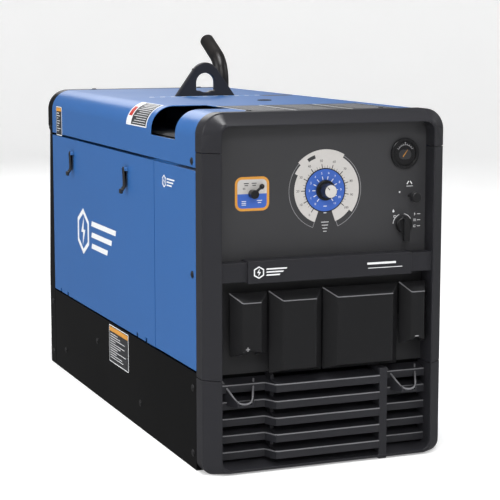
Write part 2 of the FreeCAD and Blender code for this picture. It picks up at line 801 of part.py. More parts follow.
def onDuplex(name, wide, tall, rise, sink, lift="0"):
    """A block centred on the duplex receptacle's face, standing out of it or sunk into it."""
    face = "receptacleSetback - duplexRise"
    return box(name, ("duplexX - (%s) / 2" % wide, back("%s - (%s)" % (face, rise)),
                      "duplexZ + %s - (%s) / 2" % (lift, tall)),
               ("duplexX + (%s) / 2" % wide, back("%s + (%s)" % (face, sink)),
                "duplexZ + %s + (%s) / 2" % (lift, tall)))


duplex = onDuplex("duplex_body", "duplexWidth", "duplexHeight", "0", "duplexRise")
pockets = []
for tag, lift in (("test", "-buttonSpread"), ("reset", "buttonSpread")):
    pockets.append(onDuplex(tag + "_pocket", "buttonWide + 2 * buttonPlay", "buttonTall + 2 * buttonPlay",
                            "1",
                            "duplexRise - 1", lift))
    node(tag + "_button", onDuplex(tag + "_button_part", "buttonWide", "buttonTall", "buttonRise",
                                   "buttonRise", lift))
node("duplex_receptacle", cut("duplex_receptacle_part", duplex, pockets))
powerWell = onPanel("power_well", "powerX", "powerZ", "powerRadius - 2 * coverWall", "powerRise / 2",
                    "powerRise / 2 + 1")
node("power_receptacle", cut("power_receptacle_part", onPanel("power_body", "powerX", "powerZ",
                                                              "powerRadius", "powerRise"),
                             [powerWell]))
node("circuit_breakers", group("circuit_breakers_group", [
    onPanel("breaker_%d" % i, "breakerX", "breakerZ + %d * breakerPitch" % i, "breakerRadius", "breakerRise")
    for i in range(int(number("breakerCount")))]))


# Controls on the control panel. Each turns or slides in its own hole.
def control(name, across, high, radius, length, extra, stem="shaftRadius", gap="knobGap"):
    """A knob on a shaft that passes through the panel."""
    knob = cylinder(name + "_grip", (across, back("panelSetback - %s - %s" % (gap, length)), high), radius,
                    length, ALONG_Y)
    shaft = cylinder(name + "_shaft", (across, back("panelSetback - %s - 1" % gap), high), stem,
                     "%s + panelSheet + shaftTail + 1" % gap, ALONG_Y)
    return fuse(name + "_part", [knob, shaft] + extra)


dialTip = cone("output_tip", ("dialX", back("panelSetback - knobGap - knobLength"), "dialZ"), "knobTip",
               "knobRadius",
               "knobLength - knobSkirt", ALONG_Y)
dialSkirt = cylinder("output_skirt", ("dialX", back("panelSetback - knobGap - knobSkirt"), "dialZ"),
                     "knobRadius",
                     "knobSkirt", ALONG_Y)
dialShaft = cylinder("output_shaft", ("dialX", back("panelSetback - knobGap - 1"), "dialZ"), "shaftRadius",
                     "knobGap + panelSheet + shaftTail + 1", ALONG_Y)
node("output_knob", fuse("output_knob_part", [dialTip, dialSkirt, dialShaft]))

processStem = cylinder("process_arm", ("processX", back("panelSetback - knobGap - processLength / 2"),
                                       "processZ"),
                       "processBall / 2", "processArm", Rotation(Y_AXIS, number("processAngle")))
ball = doc.addObject("Part::Sphere", "process_ball")
ball.setExpression("Radius", formula("processBall"))
place(ball, ("processX + processArm * sin(50)", back("panelSetback - knobGap - processLength / 2"),
             "processZ + processArm * cos(50)"))
node("process_knob", control("process", "processX", "processZ", "processRadius", "processLength",
                             [processStem, ball]))

switchLever = box("switch_lever", ("switchX - switchBar / 2",
                                   back("panelSetback - knobGap - switchLength - switchRise"),
                                   "switchZ - switchArm"),
                  ("switchX + switchBar / 2", back("panelSetback - knobGap - switchLength + 1"),
                   "switchZ + switchRadius - 2"))
node("engine_switch", control("switch", "switchX", "switchZ", "switchRadius", "switchLength", [switchLever]))
node("choke_knob", control("choke", "chokeX", "chokeZ", "chokeRadius", "chokeLength", [], "chokeStem",
                           "(chokeReach - chokeLength)"))

gaugeRing = cylinder("gauge_ring", ("gaugeX", back("panelSetback - gaugeRise"), "gaugeZ"), "gaugeRadius",
                     "gaugeRise", ALONG_Y)
gaugeBody = cylinder("gauge_body", ("gaugeX", back("panelSetback - 1"), "gaugeZ"), "gaugeFace", "gaugeBack",
                     ALONG_Y)
gaugeWell = cylinder("gauge_well", ("gaugeX", back("panelSetback - gaugeRise - 1"), "gaugeZ"),
                     "gaugeFace - 1",
                     "gaugeRise + 2", ALONG_Y)
node("fuel_gauge", cut("fuel_gauge_part", fuse("gauge_solid", [gaugeRing, gaugeBody]), [gaugeWell]))


# Base pan with mounting holes and the door's hinge ears.
def doorHinge(index):
    """The middle of one of the door's two hinges, behind the front lip."""
    return "doorFront + doorHingeInset" if index == 0 else "caseLength - rearDepth - doorHingeInset"


def rail(tag, at):
    """A welded rail across the pan, which carries the rubber mounts."""
    return box(tag, ("-caseWidth / 2 + baseWall - 1", back("%s - railWide / 2" % at),
                     "crankHigh - railDown"),
               ("caseWidth / 2 - baseWall + 1", back("%s + railWide / 2" % at),
                "crankHigh - railDown + railTall"))


def basePan():
    outer = box("base_out", ("-caseWidth / 2", back("bezelDepth"), "0"),
                ("caseWidth / 2", back("caseLength - rearDepth"), "baseHeight"))
    inner = box("base_in", ("-caseWidth / 2 + baseWall", back("bezelDepth + baseWall"), "baseWall"),
                ("caseWidth / 2 - baseWall", back("caseLength - rearDepth - baseWall"), "baseHeight + 1"))
    holes = [cylinder("base_hole_%d" % i, ("%d * baseBoltX / 2" % across, "%d * baseBoltY / 2" % along_y,
                                           "-1"),
                      "baseBoltRadius", "baseWall + 2")
             for i, (across, along_y) in enumerate(((-1, -1), (1, -1), (-1, 1), (1, 1)))]
    pan = cut("base_tray", outer, [inner] + holes)
    pieces = [pan, rail("rail_front", "railFront"), rail("rail_rear", "railRear")]
    bores = []
    axisX = "-caseWidth / 2 + doorAxisIn"
    for i in range(2):
        for end in (-1, 1):
            tag = "hinge_ear_%d_%s" % (i, "front" if end < 0 else "rear")
            start = "%s + %d * (doorKnuckleWide / 2 + knucklePlay)" % (doorHinge(i), end)
            if end < 0:
                start += " - earWidth"
            pieces.append(box(tag + "_leaf", ("-caseWidth / 2 + baseWall - seamGap / 2", back(start),
                                              "baseHeight - hingeLeaf"),
                              ("%s + doorKnuckle" % axisX, back("%s + earWidth" % start), "doorAxisHigh")))
            pieces.append(cylinder(tag + "_eye", (axisX, back(start), "doorAxisHigh"), "doorKnuckle",
                                   "earWidth", ALONG_Y))
            bores.append(cylinder(tag + "_bore", (axisX, back("%s - 1" % start), "doorAxisHigh"),
                                  "doorPinRadius",
                                  "earWidth + 2", ALONG_Y))
    return cut("base_pan_part", fuse("base_solid", pieces), bores)


node("base_pan", basePan())
node("door_hinge_pins", group("door_hinge_pins_group", [
    cylinder("door_pin_%d" % i,
             ("-caseWidth / 2 + doorAxisIn",
              back("%s - doorKnuckleWide / 2 - knucklePlay - earWidth" % doorHinge(i)),
              "doorAxisHigh"),
             "doorPinRadius", "doorKnuckleWide + 2 * knucklePlay + 2 * earWidth", ALONG_Y)
    for i in range(2)]))


# Side panels: trays with an inward flange all round.
def sideTray(name, side, front, rear):
    """A shallow tray that stands on one side of the case; side is -1 for left and 1 for right."""
    outside = "%d * caseWidth / 2" % side
    inside = "%d * (caseWidth / 2 - flangeDepth)" % side
    skin = "%d * (caseWidth / 2 - sheetWall)" % side
    deep = "%d * (caseWidth / 2 - flangeDepth - 1)" % side
    low, high = (outside, inside) if side < 0 else (inside, outside)
    hollowLow, hollowHigh = (skin, deep) if side < 0 else (deep, skin)
    tray = box(name + "_out", (low, back(front), "sideBottom"), (high, back(rear), "sideTop"))
    room = box(name + "_in", (hollowLow, back("%s + sheetWall" % front), "sideBottom + sheetWall"),
               (hollowHigh, back("%s - sheetWall" % rear), "sideTop - sheetWall"))
    return cut(name + "_tray", tray, [room])


node("left_front_panel", sideTray("left_front", -1, "bezelDepth + seamGap", "doorFront - doorGap / 2"))

rightTray = sideTray("right_side", 1, "bezelDepth + seamGap", "caseLength - rearDepth - seamGap")
sideLouvres = []
for column, start in enumerate(("sideSlotFront", "sideSlotRear")):
    for i in range(int(number("sideSlots"))):
        low = "sideSlotBottom + %d * slotPitch" % i
        sideLouvres.append(box("side_slot_%d_%d" % (column, i), ("caseWidth / 2 - sheetWall - 1",
                                                                 back(start), low),
                               ("caseWidth / 2 + 1", back("%s + sideSlotWidth" % start),
                                "%s + slotHeight" % low)))
node("right_side_panel", cut("right_side_part", rightTray, sideLouvres))


def latchMiddle(name):
    return "latchFront" if name == "latch_front" else "latchRear"


LATCH_X = "-caseWidth / 2 - latchAxisOut"
LATCH_Z = "latchTop - latchAxisDown"


def sideDoor():
    tray = sideTray("door", -1, "doorFront + doorGap / 2", "caseLength - rearDepth - doorGap / 2")
    bores = []
    axisX = "-caseWidth / 2 + doorAxisIn"
    reliefs = []
    knuckles = []
    for i in range(2):
        start = "%s - doorKnuckleWide / 2" % doorHinge(i)
        relief = "%s - 2 * knucklePlay - earWidth" % start
        over = "%s + doorKnuckleWide + 4 * knucklePlay + 2 * earWidth" % relief
        reliefs.append(box("door_relief_%d" % i, ("-caseWidth / 2 + sheetWall", back(relief),
                                                  "sideBottom - 1"),
                           ("-caseWidth / 2 + flangeDepth + 1", back(over), "sideBottom + sheetWall + 1")))
        for end, low in (("front", relief), ("rear", "%s + doorKnuckleWide" % start)):
            reliefs.append(box("door_notch_%d_%s" % (i, end), ("-caseWidth / 2 - 1", back(low),
                                                               "sideBottom - 1"),
                               (axisX, back("%s + earWidth + 2 * knucklePlay" % low),
                                "doorAxisHigh + doorKnuckle + 1")))
        knuckles.append(box("door_web_%d" % i, ("-caseWidth / 2 + sheetWall / 2", back(start),
                                                "doorAxisHigh"),
                            (axisX, back("%s + doorKnuckleWide" % start), "doorAxisHigh + doorKnuckle")))
        knuckles.append(cylinder("door_knuckle_%d" % i, (axisX, back(start), "doorAxisHigh"), "doorKnuckle",
                                 "doorKnuckleWide", ALONG_Y))
        bores.append(cylinder("door_bore_%d" % i, (axisX, back("%s - 1" % start), "doorAxisHigh"),
                              "doorPinRadius + pinPlay", "doorKnuckleWide + 2", ALONG_Y))
    solid = fuse("door_solid", [cut("door_relieved", tray, reliefs)] + knuckles)
    for name in ("latch_front", "latch_rear"):
        for end in (-1, 1):
            tag = "%s_ear_%s" % (name, "front" if end < 0 else "rear")
            start = "%s + %d * (latchWide / 2 + knucklePlay)" % (latchMiddle(name), end)
            if end < 0:
                start += " - latchEar"
            ear = box(tag, ("%s - latchPin - 1" % LATCH_X, back(start), "%s - latchPin - 2" % LATCH_Z),
                      ("-caseWidth / 2 + 1", back("%s + latchEar" % start), "%s + latchPin + 2" % LATCH_Z))
            solid = fuse(tag + "_joined", [solid, ear])
        pin = cylinder(name + "_pin",
                       (LATCH_X, back("%s - latchWide / 2 - knucklePlay - 1" % latchMiddle(name)), LATCH_Z),
                       "latchPin", "latchWide + 2 * knucklePlay + 2", ALONG_Y)
        solid = fuse(name + "_pinned", [solid, pin])
    return cut("side_door_part", solid, bores)


node("side_door", sideDoor())


def latch(name):
    """A pull lever: flat at the top, kicked outwards at its lower end."""
    middle = latchMiddle(name)
    low = "%s - latchWide / 2" % middle
    high = "%s + latchWide / 2" % middle
    outside = "%s - latchThick / 2" % LATCH_X
    plate = box(name + "_plate", (outside, back(low), "latchLow + latchKick + latchFoot"),
                ("%s + latchThick / 2" % LATCH_X, back(high), "%s + latchPin + latchHead" % LATCH_Z))
    kick = box(name + "_kick", ("-caseWidth / 2 - latchFlare", back(low), "latchLow"),
               ("-caseWidth / 2 - latchFlare + latchThick", back(high), "latchLow + latchKick"))
    slope = doc.addObject("Part::Wedge", name + "_slope")
    for field, text in (("Xmin", "-latchFlare"), ("Xmax", "-latchFlare + latchThick"),
                        ("X2min", "-latchAxisOut - latchThick / 2"), ("X2max",
                                                                      "-latchAxisOut + latchThick / 2"),
                        ("Zmin", "0"), ("Zmax", "latchWide"), ("Z2min", "0"), ("Z2max", "latchWide"),
                        ("Ymin", "0"), ("Ymax", "latchSlope")):
        slope.setExpression(field, formula(text))
    place(slope, ("-caseWidth / 2", back(high), "latchLow + latchFoot"), Rotation(X_AXIS, 90))
    bore = cylinder(name + "_bore", (LATCH_X, back("%s - 1" % low), LATCH_Z), "latchPin + pinPlay",
                    "latchWide + 2", ALONG_Y)
    return cut(name + "_part", fuse(name + "_solid", [plate, slope, kick]), [bore])


node("latch_front", latch("latch_front"))
node("latch_rear", latch("latch_rear"))


# Roof with its filler bay, and the rear panel.
def roofShell(name, wall, front, rear, low):
    """A block with rounded shoulders, drawn in from the roof's outline by a wall."""
    blank = box(name + "_blank", ("-caseWidth / 2 + %s" % wall, back(front), low),
                ("caseWidth / 2 - %s" % wall, back(rear), "coverHeight - %s" % wall))
    top = number("coverHeight - %s" % wall)
    return rounded(name, blank, "shoulderRadius - %s" % wall,
                   lambda edge: along(edge, Y_AXIS) and edge.CenterOfMass.z > top - TINY)


def topCover():
    low = "sideTop + seamSide"
    outer = roofShell("roof_out", "0", "bezelDepth", "caseLength - rearDepth", low)
    inner = roofShell("roof_in", "sheetWall", "bezelDepth + sheetWall", "caseLength - rearDepth - sheetWall",
                      "%s - 1" % low)
    bay = box("roof_bay", ("-caseWidth / 2 - 1", back("fuelBayFront"), "fuelBaySill"),
              ("fuelBayInner", back("fuelBayRear"), "coverHeight + 1"))
    slot = box("roof_slot", ("-bailBase / 2 - bailSlotPlay", back("bailAt - bailThick / 2 - bailSlotPlay"),
                             "beamTop"),
               ("bailBase / 2 + bailSlotPlay", back("bailAt + bailThick / 2 + bailSlotPlay"),
                "coverHeight + 1"))
    stack = cylinder("roof_stack", ("exhaustX", back("exhaustAt"), "beamTop"), "exhaustHole", "roofCut")
    plug = cylinder("roof_plug", ("plugX", back("plugAt"), "beamTop"), "plugRadius", "roofCut")
    return cut("top_cover_part", outer, [inner, bay, slot, stack, plug])


node("top_cover", topCover())


def rearWedge(name, left, wide, face, low):
    """The leaning part of the rear face, which is thickest at its foot."""
    item = doc.addObject("Part::Wedge", name)
    for field, text in (("Xmin", "0"), ("Xmax", wide), ("X2min", "0"), ("X2max", wide),
                        ("Zmin", "0"), ("Zmax", "rearLean"), ("Z2min", "rearLean - 1"), ("Z2max", "rearLean"),
                        ("Ymin", "0"), ("Ymax", "rearLeanHigh - rearLeanLow")):
        item.setExpression(field, formula(text))
    return place(item, (left, back(face), low), Rotation(X_AXIS, 90))


def rearPanel():
    rearFace = "caseLength - rearDepth"
    main = roofShell("rear_main", "0", rearFace, "%s + rearThick" % rearFace, "0")
    foot = box("rear_foot", ("-caseWidth / 2", back("%s + rearThick - 1" % rearFace), "0"),
               ("caseWidth / 2", back("caseLength"), "rearLeanLow"))
    cap = roofShell("rear_cap", "0", "%s + 1" % rearFace, "%s + rearThick + rearCap" % rearFace,
                    "rearCapBottom")
    lean = rearWedge("rear_lean", "-caseWidth / 2", "caseWidth", "caseLength", "rearLeanLow")
    solid = fuse("rear_solid", [main, foot, lean, cap])
    room = [
        box("rear_room", ("-caseWidth / 2 + baseWall", back("%s - 1" % rearFace), "baseWall"),
            ("caseWidth / 2 - baseWall", back("%s + rearThick - baseWall" % rearFace),
             "coverHeight - shoulderRadius")),
        box("rear_foot_room", ("-caseWidth / 2 + baseWall", back(rearFace), "baseWall"),
            ("caseWidth / 2 - baseWall", back("caseLength - baseWall"), "rearLeanLow - baseWall")),
        box("rear_cap_room", ("-caseWidth / 2 + baseWall", back(rearFace), "rearCapBottom + baseWall"),
            ("caseWidth / 2 - baseWall", back("%s + rearThick + rearCap - baseWall" % rearFace),
             "coverHeight - shoulderRadius")),
        rearWedge("rear_lean_room", "-caseWidth / 2 + baseWall", "caseWidth - 2 * baseWall",
                  "caseLength - baseWall",
                  "rearLeanLow - baseWall")]
    louvres = []
    for column in (-1, 1):
        for i in range(int(number("rearSlots"))):
            low = "rearSlotBottom + %d * slotPitch" % i
            middle = "%d * (rearSlotWidth / 2 + 14)" % column
            louvres.append(box("rear_slot_%d_%d" % (column + 1, i),
                               ("%s - rearSlotWidth / 2" % middle, back(rearFace), low),
                               ("%s + rearSlotWidth / 2" % middle, back("caseLength + 1"),
                                "%s + slotHeight" % low)))
    return cut("rear_panel_part", solid, room + louvres)


node("rear_panel", rearPanel())


# Lifting gear: two uprights, a beam and the eye that stands out of the roof.
upLeft = "-caseWidth / 2 + flangeDepth + uprightGap"
upRight = "caseWidth / 2 - flangeDepth - uprightGap"
liftFrame = fuse("lift_frame_part", [
    box("upright_left", (upLeft, back("bailAt - uprightWide / 2"), "baseWall"),
        ("%s + uprightThick" % upLeft, back("bailAt + uprightWide / 2"), "fuelBaySill")),
    box("upright_right", ("%s - uprightThick" % upRight, back("bailAt - uprightWide / 2"), "baseWall"),
        (upRight, back("bailAt + uprightWide / 2"), "fuelBaySill")),
    box("beam_low", (upLeft, back("bailAt - bailThick / 2"), "beamTop - beamTall"),
        (upRight, back("bailAt + bailThick / 2"), "fuelBaySill")),
    box("beam_high", ("-bailBase", back("bailAt - bailThick / 2"), "beamTop - beamTall"),
        ("bailBase", back("bailAt + bailThick / 2"), "beamTop"))])
node("lift_frame", liftFrame)


def liftingBail():
    """A plate with slanted sides and a round crown, pierced by a round-topped hole."""
    front = back("bailAt - bailThick / 2")
    rear = back("bailAt + bailThick / 2")
    crown = cylinder("bail_crown", ("0", front, "bailTop - bailRound"), "bailRound", "bailThick", ALONG_Y)
    slant = doc.addObject("Part::Wedge", "bail_slant")
    for field, text in (("Xmin", "-bailBase / 2"), ("Xmax", "bailBase / 2"), ("X2min", "-bailShoulder / 2"),
                        ("X2max", "bailShoulder / 2"), ("Zmin", "0"), ("Zmax", "bailThick"), ("Z2min", "0"),
                        ("Z2max", "bailThick"), ("Ymin", "0"), ("Ymax", "bailFlare")):
        slant.setExpression(field, formula(text))
    place(slant, ("0", rear, "coverHeight"), Rotation(X_AXIS, 90))
    foot = box("bail_foot", ("-bailBase / 2", front, "beamTop"), ("bailBase / 2", rear, "coverHeight"))
    hole = fuse("bail_hole", [
        box("bail_hole_low", ("-bailHole", back("bailAt - bailThick"), "bailHoleLow"),
            ("bailHole", back("bailAt + bailThick"), "bailHoleTop - bailHole")),
        cylinder("bail_hole_top", ("0", back("bailAt - bailThick"), "bailHoleTop - bailHole"), "bailHole",
                 "2 * bailThick", ALONG_Y)])
    return cut("lifting_bail_part", fuse("bail_solid", [crown, slant, foot]), [hole])


node("lifting_bail", liftingBail())


# Exhaust: muffler across the case and a bent stack through the roof.
def stack(name, radius, extra):
    """The stack as a solid rod: upright, a bend and a straight end towards the rear."""
    start = "mufflerHigh + mufflerRadius - exhaustSunk - %s" % extra
    upright = cylinder(name + "_up", ("exhaustX", back("exhaustAt"), start), radius,
                       "exhaustRise - (%s)" % start)
    bend = doc.addObject("Part::Torus", name + "_bend")
    bend.setExpression("Radius1", "Sizes.exhaustBend")
    bend.setExpression("Radius2", formula(radius))
    bend.setExpression("Angle3", "Sizes.exhaustAngle")
    turn = Rotation(Vector(0, -1, 0), Vector(0, 0, 1), Vector(-1, 0, 0), "ZXY")
    place(bend, ("exhaustX", back("exhaustAt + exhaustBend"), "exhaustRise"), turn)
    tail = cylinder(name + "_tail", ("exhaustX",
                                     back("exhaustAt + exhaustBend - exhaustBend * cos(exhaustAngle)"),
                                     "exhaustRise + exhaustBend * sin(exhaustAngle)"),
                    radius, "exhaustTail + %s" % extra, Rotation(X_AXIS, -number("exhaustAngle")))
    return fuse(name, [upright, bend, tail])


node("exhaust_pipe", cut("exhaust_pipe_part", stack("stack_out", "exhaustRadius", "0"),
                         [stack("stack_in", "exhaustRadius - exhaustWall", "1")]))
can = cylinder("muffler_can", ("mufflerLeft", back("mufflerAt"), "mufflerHigh"), "mufflerRadius",
               "mufflerRight - mufflerLeft", ALONG_X)
canRound = rounded("muffler_round", can, "3 * sheetWall",
                   lambda edge: edge.Curve.TypeId == "Part::GeomCircle")
canHole = cylinder("muffler_hole", ("exhaustX", back("exhaustAt"), "mufflerHigh"), "exhaustRadius",
                   "2 * mufflerRadius")
canRoom = cylinder("muffler_room", ("mufflerLeft + sheetWall", back("mufflerAt"), "mufflerHigh"),
                   "mufflerRadius - sheetWall", "mufflerRight - mufflerLeft - 2 * sheetWall", ALONG_X)
node("muffler", cut("muffler_part", canRound, [canRoom, canHole]))


# Fuel tank with its filler neck, gasket and cap.
def tankBlock(name, wall):
    low = box(name + "_low", ("tankLeft + %s" % wall, back("tankFront + %s" % wall), "tankLow + %s" % wall),
              ("tankRight - %s" % wall, back("tankRear - %s" % wall), "tankShoulder - %s" % wall))
    high = box(name + "_high", ("tankStep + %s" % wall, back("tankFront + %s" % wall), "tankLow + %s" % wall),
               ("tankRight - %s" % wall, back("tankRear - %s" % wall), "tankTop - %s" % wall))
    return fuse(name, [low, high])


tankSkin = rounded("tank_round", tankBlock("tank_out", "0"), "tankRound", lambda edge: along(edge, Y_AXIS))
neck = cylinder("tank_neck", ("fillerX", back("fillerAt"), "tankShoulder - 1"), "fillerRadius",
                "fillerTop - tankShoulder + 1")
neckBore = cylinder("tank_bore", ("fillerX", back("fillerAt"), "tankShoulder - 2 * tankWall"),
                    "fillerRadius - tankWall / 2", "fillerTop - tankShoulder + 3 * tankWall")
node("fuel_tank", cut("fuel_tank_part", fuse("tank_solid", [tankSkin, neck]),
                      [tankBlock("tank_in", "tankWall"), neckBore]))


def aroundFiller(name, radius, low, high):
    """An upright cylinder on the filler neck's axis."""
    return cylinder(name, ("fillerX", back("fillerAt"), low), radius, "(%s) - (%s)" % (high, low))


def fuelCap():
    body = aroundFiller("cap_body", "capRadius - capRib / 2", "capSkirt", "capTop")
    ribs = []
    for i in range(int(number("capRibs"))):
        rib = doc.addObject("Part::Box", "cap_rib_%d" % i)
        rib.setExpression("Length", formula("capRib"))
        rib.setExpression("Width", formula("capRib"))
        rib.setExpression("Height", formula("capTop - capSkirt - capRim"))
        angle = "%d * 360 / capRibs" % i
        place(rib, ("fillerX + (capRadius - capRib) * cos(%s)" % angle,
                    "%s + (capRadius - capRib) * sin(%s)" % (back("fillerAt"), angle), "capSkirt"),
              Rotation(Z_AXIS, i * 360 / number("capRibs")))
        ribs.append(rib)
    room = aroundFiller("cap_room", "fillerRadius + capPlay", "capSkirt - 1",
                        "fillerTop + gasketThick + capPlay")
    return cut("fuel_cap_part", fuse("cap_solid", [body] + ribs), [room])


gasketHole = aroundFiller("gasket_hole", "fillerRadius - tankWall / 2", "fillerTop - 1",
                          "fillerTop + 2 * gasketThick")
node("fuel_cap_gasket", cut("fuel_cap_gasket_part", aroundFiller("gasket_disc", "fillerRadius",
                                                                 "fillerTop + 0.3",
                                                                 "fillerTop + gasketThick"), [gasketHole]))
node("fuel_cap", fuelCap())


# Generator and engine on one crankshaft, which lies along the case.
def onCrank(name, radius, front, rear, grow="0"):
    """A cylinder on the crankshaft's axis between two distances behind the front lip."""
    return cylinder(name, ("0", back("(%s) - (%s)" % (front, grow)), "crankHigh"), radius,
                    "(%s) - (%s) + 2 * (%s)" % (rear, front, grow), ALONG_Y)


def tube(name, outer, inner, front, rear):
    return cut(name, onCrank(name + "_out", outer, front, rear), [onCrank(name + "_in", inner, front, rear,
                                                                          "1")])


node("generator_stator", tube("generator_stator_part", "statorRadius", "statorBore", "statorFront",
                              "statorRear"))
node("generator_end_bell", tube("generator_end_bell_part", "statorRadius", "bearingRadius",
                                "statorFront - bellDepth", "statorFront"))
node("rotor_bearing", tube("rotor_bearing_part", "bearingRadius", "journalRadius + pinPlay", "bearingFront",
                           "bearingFront + bearingWidth"))
node("generator_rotor", tube("generator_rotor_part", "rotorRadius", "crankRadius", "statorFront + rotorInset",
                             "statorRear - rotorInset"))
webs = [onCrank("crank_web_%d" % i, "webRadius", "%s - webThick / 2" % place_at,
                "%s + webThick / 2" % place_at)
        for i, place_at in enumerate(("barrelLeftAt", "barrelRightAt"))]
node("crankshaft", fuse("crankshaft_part", [
    onCrank("crank_journal", "journalRadius", "shaftFront", "statorFront"),
    onCrank("crank_main", "crankRadius", "statorFront", "flywheelAt + flywheelThick")] + webs))


def crankcase():
    block = box("case_block", ("-engineHalf", back("engineFront"), "(crankHigh - engineDown)"),
                ("engineHalf", back("engineRear"), "(crankHigh + engineUp)"))
    diamond = box("case_diamond", ("-2 * engineDiagonal", back("engineFront"), "-2 * engineDiagonal"),
                  ("engineDiagonal", back("engineRear"), "engineDiagonal"))
    diamond.Placement.Rotation = Rotation(Y_AXIS, 45)
    for axis, text in (("x", "-3 * engineDiagonal * cos(45)"), ("z", "crankHigh - engineDiagonal * sin(45)")):
        diamond.setExpression("Placement.Base." + axis, formula(text))
    outer = common("case_out", block, diamond)
    wall = "engineWall"
    room = box("case_room", ("-engineHalf + %s" % wall, back("engineFront + %s" % wall),
                             "(crankHigh - engineDown) + %s" % wall),
               ("engineHalf - %s" % wall, back("engineRear - %s" % wall),
                "crankHigh + webRadius + %s" % wall))
    bore = onCrank("case_bore", "crankRadius + pinPlay", "engineFront", "engineRear", "1")
    return cut("engine_crankcase_part", outer, [room, bore])


node("engine_crankcase", crankcase())


def cylinderSide(side):
    """Rotation and formulas for a bank at 45 degrees: -1 is left, 1 is right."""
    turn = Rotation(Y_AXIS, 45 * side)
    at = "barrelLeftAt" if side < 0 else "barrelRightAt"
    return turn, at


def onBank(name, side, radius, start, length):
    """A cylinder on a bank's axis, at a distance from the crankshaft."""
    turn, at = cylinderSide(side)
    return cylinder(name, ("%d * (%s) * sin(45)" % (side, start), back(at),
                           "crankHigh + (%s) * cos(45)" % start),
                    radius, length, turn)


def barrel(tag, side):
    pieces = [onBank(tag + "_core", side, "barrelRadius", "engineDiagonal", "barrelLength")]
    pitch = "(barrelLength - barrelFinThick) / barrelFins"
    for i in range(int(number("barrelFins"))):
        pieces.append(onBank("%s_fin_%d" % (tag, i), side, "barrelFin",
                             "engineDiagonal + %d * %s" % (i + 1, pitch), "barrelFinThick"))
    return fuse(tag, pieces)


def head(tag, side):
    turn, at = cylinderSide(side)
    item = doc.addObject("Part::Box", tag)
    item.setExpression("Length", formula("headWide"))
    item.setExpression("Width", formula("headWide"))
    item.setExpression("Height", formula("headTall"))
    start = "engineDiagonal + barrelLength"
    return place(item, ("%d * (%s) * sin(45) - headWide / 2 * cos(45)" % (side, start),
                        back("%s - headWide / 2" % at),
                        "crankHigh + (%s) * cos(45) + %d * headWide / 2 * sin(45)" % (start, side)), turn)


node("cylinder_barrels", group("cylinder_barrels_group", [
    barrel("barrel_left", -1), barrel("barrel_right", 1)]))
heads = [rounded(tag + "_round", head(tag, side), "2 * barrelFinThick", lambda edge: along(edge, Y_AXIS))
         for tag, side in (("head_left", -1), ("head_right", 1))]
node("cylinder_heads", group("cylinder_heads_group", heads))

blades = []
for i in range(int(number("fanBlades"))):
    turned = i * 360 / number("fanBlades")
    blade = doc.addObject("Part::Box", "fan_blade_%d" % i)
    blade.setExpression("Length", formula("flywheelRadius / 2"))
    blade.setExpression("Width", formula("fanBladeTall + 1"))
    blade.setExpression("Height", formula("barrelFinThick"))
    place(blade, ("(flywheelRadius / 2 - 2) * cos(%f)" % turned, back("flywheelAt + flywheelThick - 1"),
                  "crankHigh - (flywheelRadius / 2 - 2) * sin(%f)" % turned), Rotation(Y_AXIS, turned))
    blades.append(blade)
wheel = tube("flywheel_disc", "flywheelRadius", "crankRadius", "flywheelAt", "flywheelAt + flywheelThick")
node("flywheel_fan", fuse("flywheel_fan_part", [wheel] + blades))

blowerRoom = onCrank("blower_room", "blowerRadius - sheetWall", "blowerFront + sheetWall",
                     "blowerRear - sheetWall")
blowerShaft = onCrank("blower_shaft", "crankRadius + shaftRoom", "blowerFront", "blowerRear - sheetWall * 2",
                      "1")
blowerInlet = onCrank("blower_inlet", "blowerInlet", "blowerRear - sheetWall * 2", "blowerRear", "1")
node("blower_housing", cut("blower_housing_part", onCrank("blower_out", "blowerRadius", "blowerFront",
                                                          "blowerRear"),
                           [blowerRoom, blowerShaft, blowerInlet]))

node("air_cleaner", fuse("air_cleaner_part", [
    cylinder("cleaner_body", ("0", back("cleanerAt"), "(crankHigh + engineUp + carbTall)"), "cleanerRadius",
             "cleanerTall"),
    cylinder("cleaner_lid",
             ("0", back("cleanerAt"),
              "crankHigh + engineUp + carbTall + cleanerTall - cleanerLidTall"),
             "cleanerLid", "cleanerLidTall")]))
node("carburettor", box("carburettor_part", ("-carbWide / 2", back("cleanerAt - carbLong / 2"),
                                             "(crankHigh + engineUp)"),
                        ("carbWide / 2", back("cleanerAt + carbLong / 2"),
                         "(crankHigh + engineUp + carbTall)")))
oilCan = cylinder("oil_filter_can", ("-engineHalf - filterLength", back("filterAt"),
                                     "(crankHigh - filterDown)"), "filterRadius",
                  "filterLength", ALONG_X)
filterEnd = number("-engineHalf - filterLength")
node("oil_filter", rounded("oil_filter_part", oilCan, "2 * baseWall",
                           lambda edge: abs(edge.CenterOfMass.x - filterEnd) < TINY))
node("starter_motor", fuse("starter_motor_part", [
    cylinder("starter_can", ("starterX", back("starterFront"), "(crankHigh - starterDown)"), "starterRadius",
             "starterLength", ALONG_Y),
    cylinder("starter_relay", ("starterX", back("starterFront + starterRadius"),
                               "(crankHigh - starterDown) + starterRadius * 1.4"),
             "starterRadius / 2", "starterLength / 2", ALONG_Y)]))

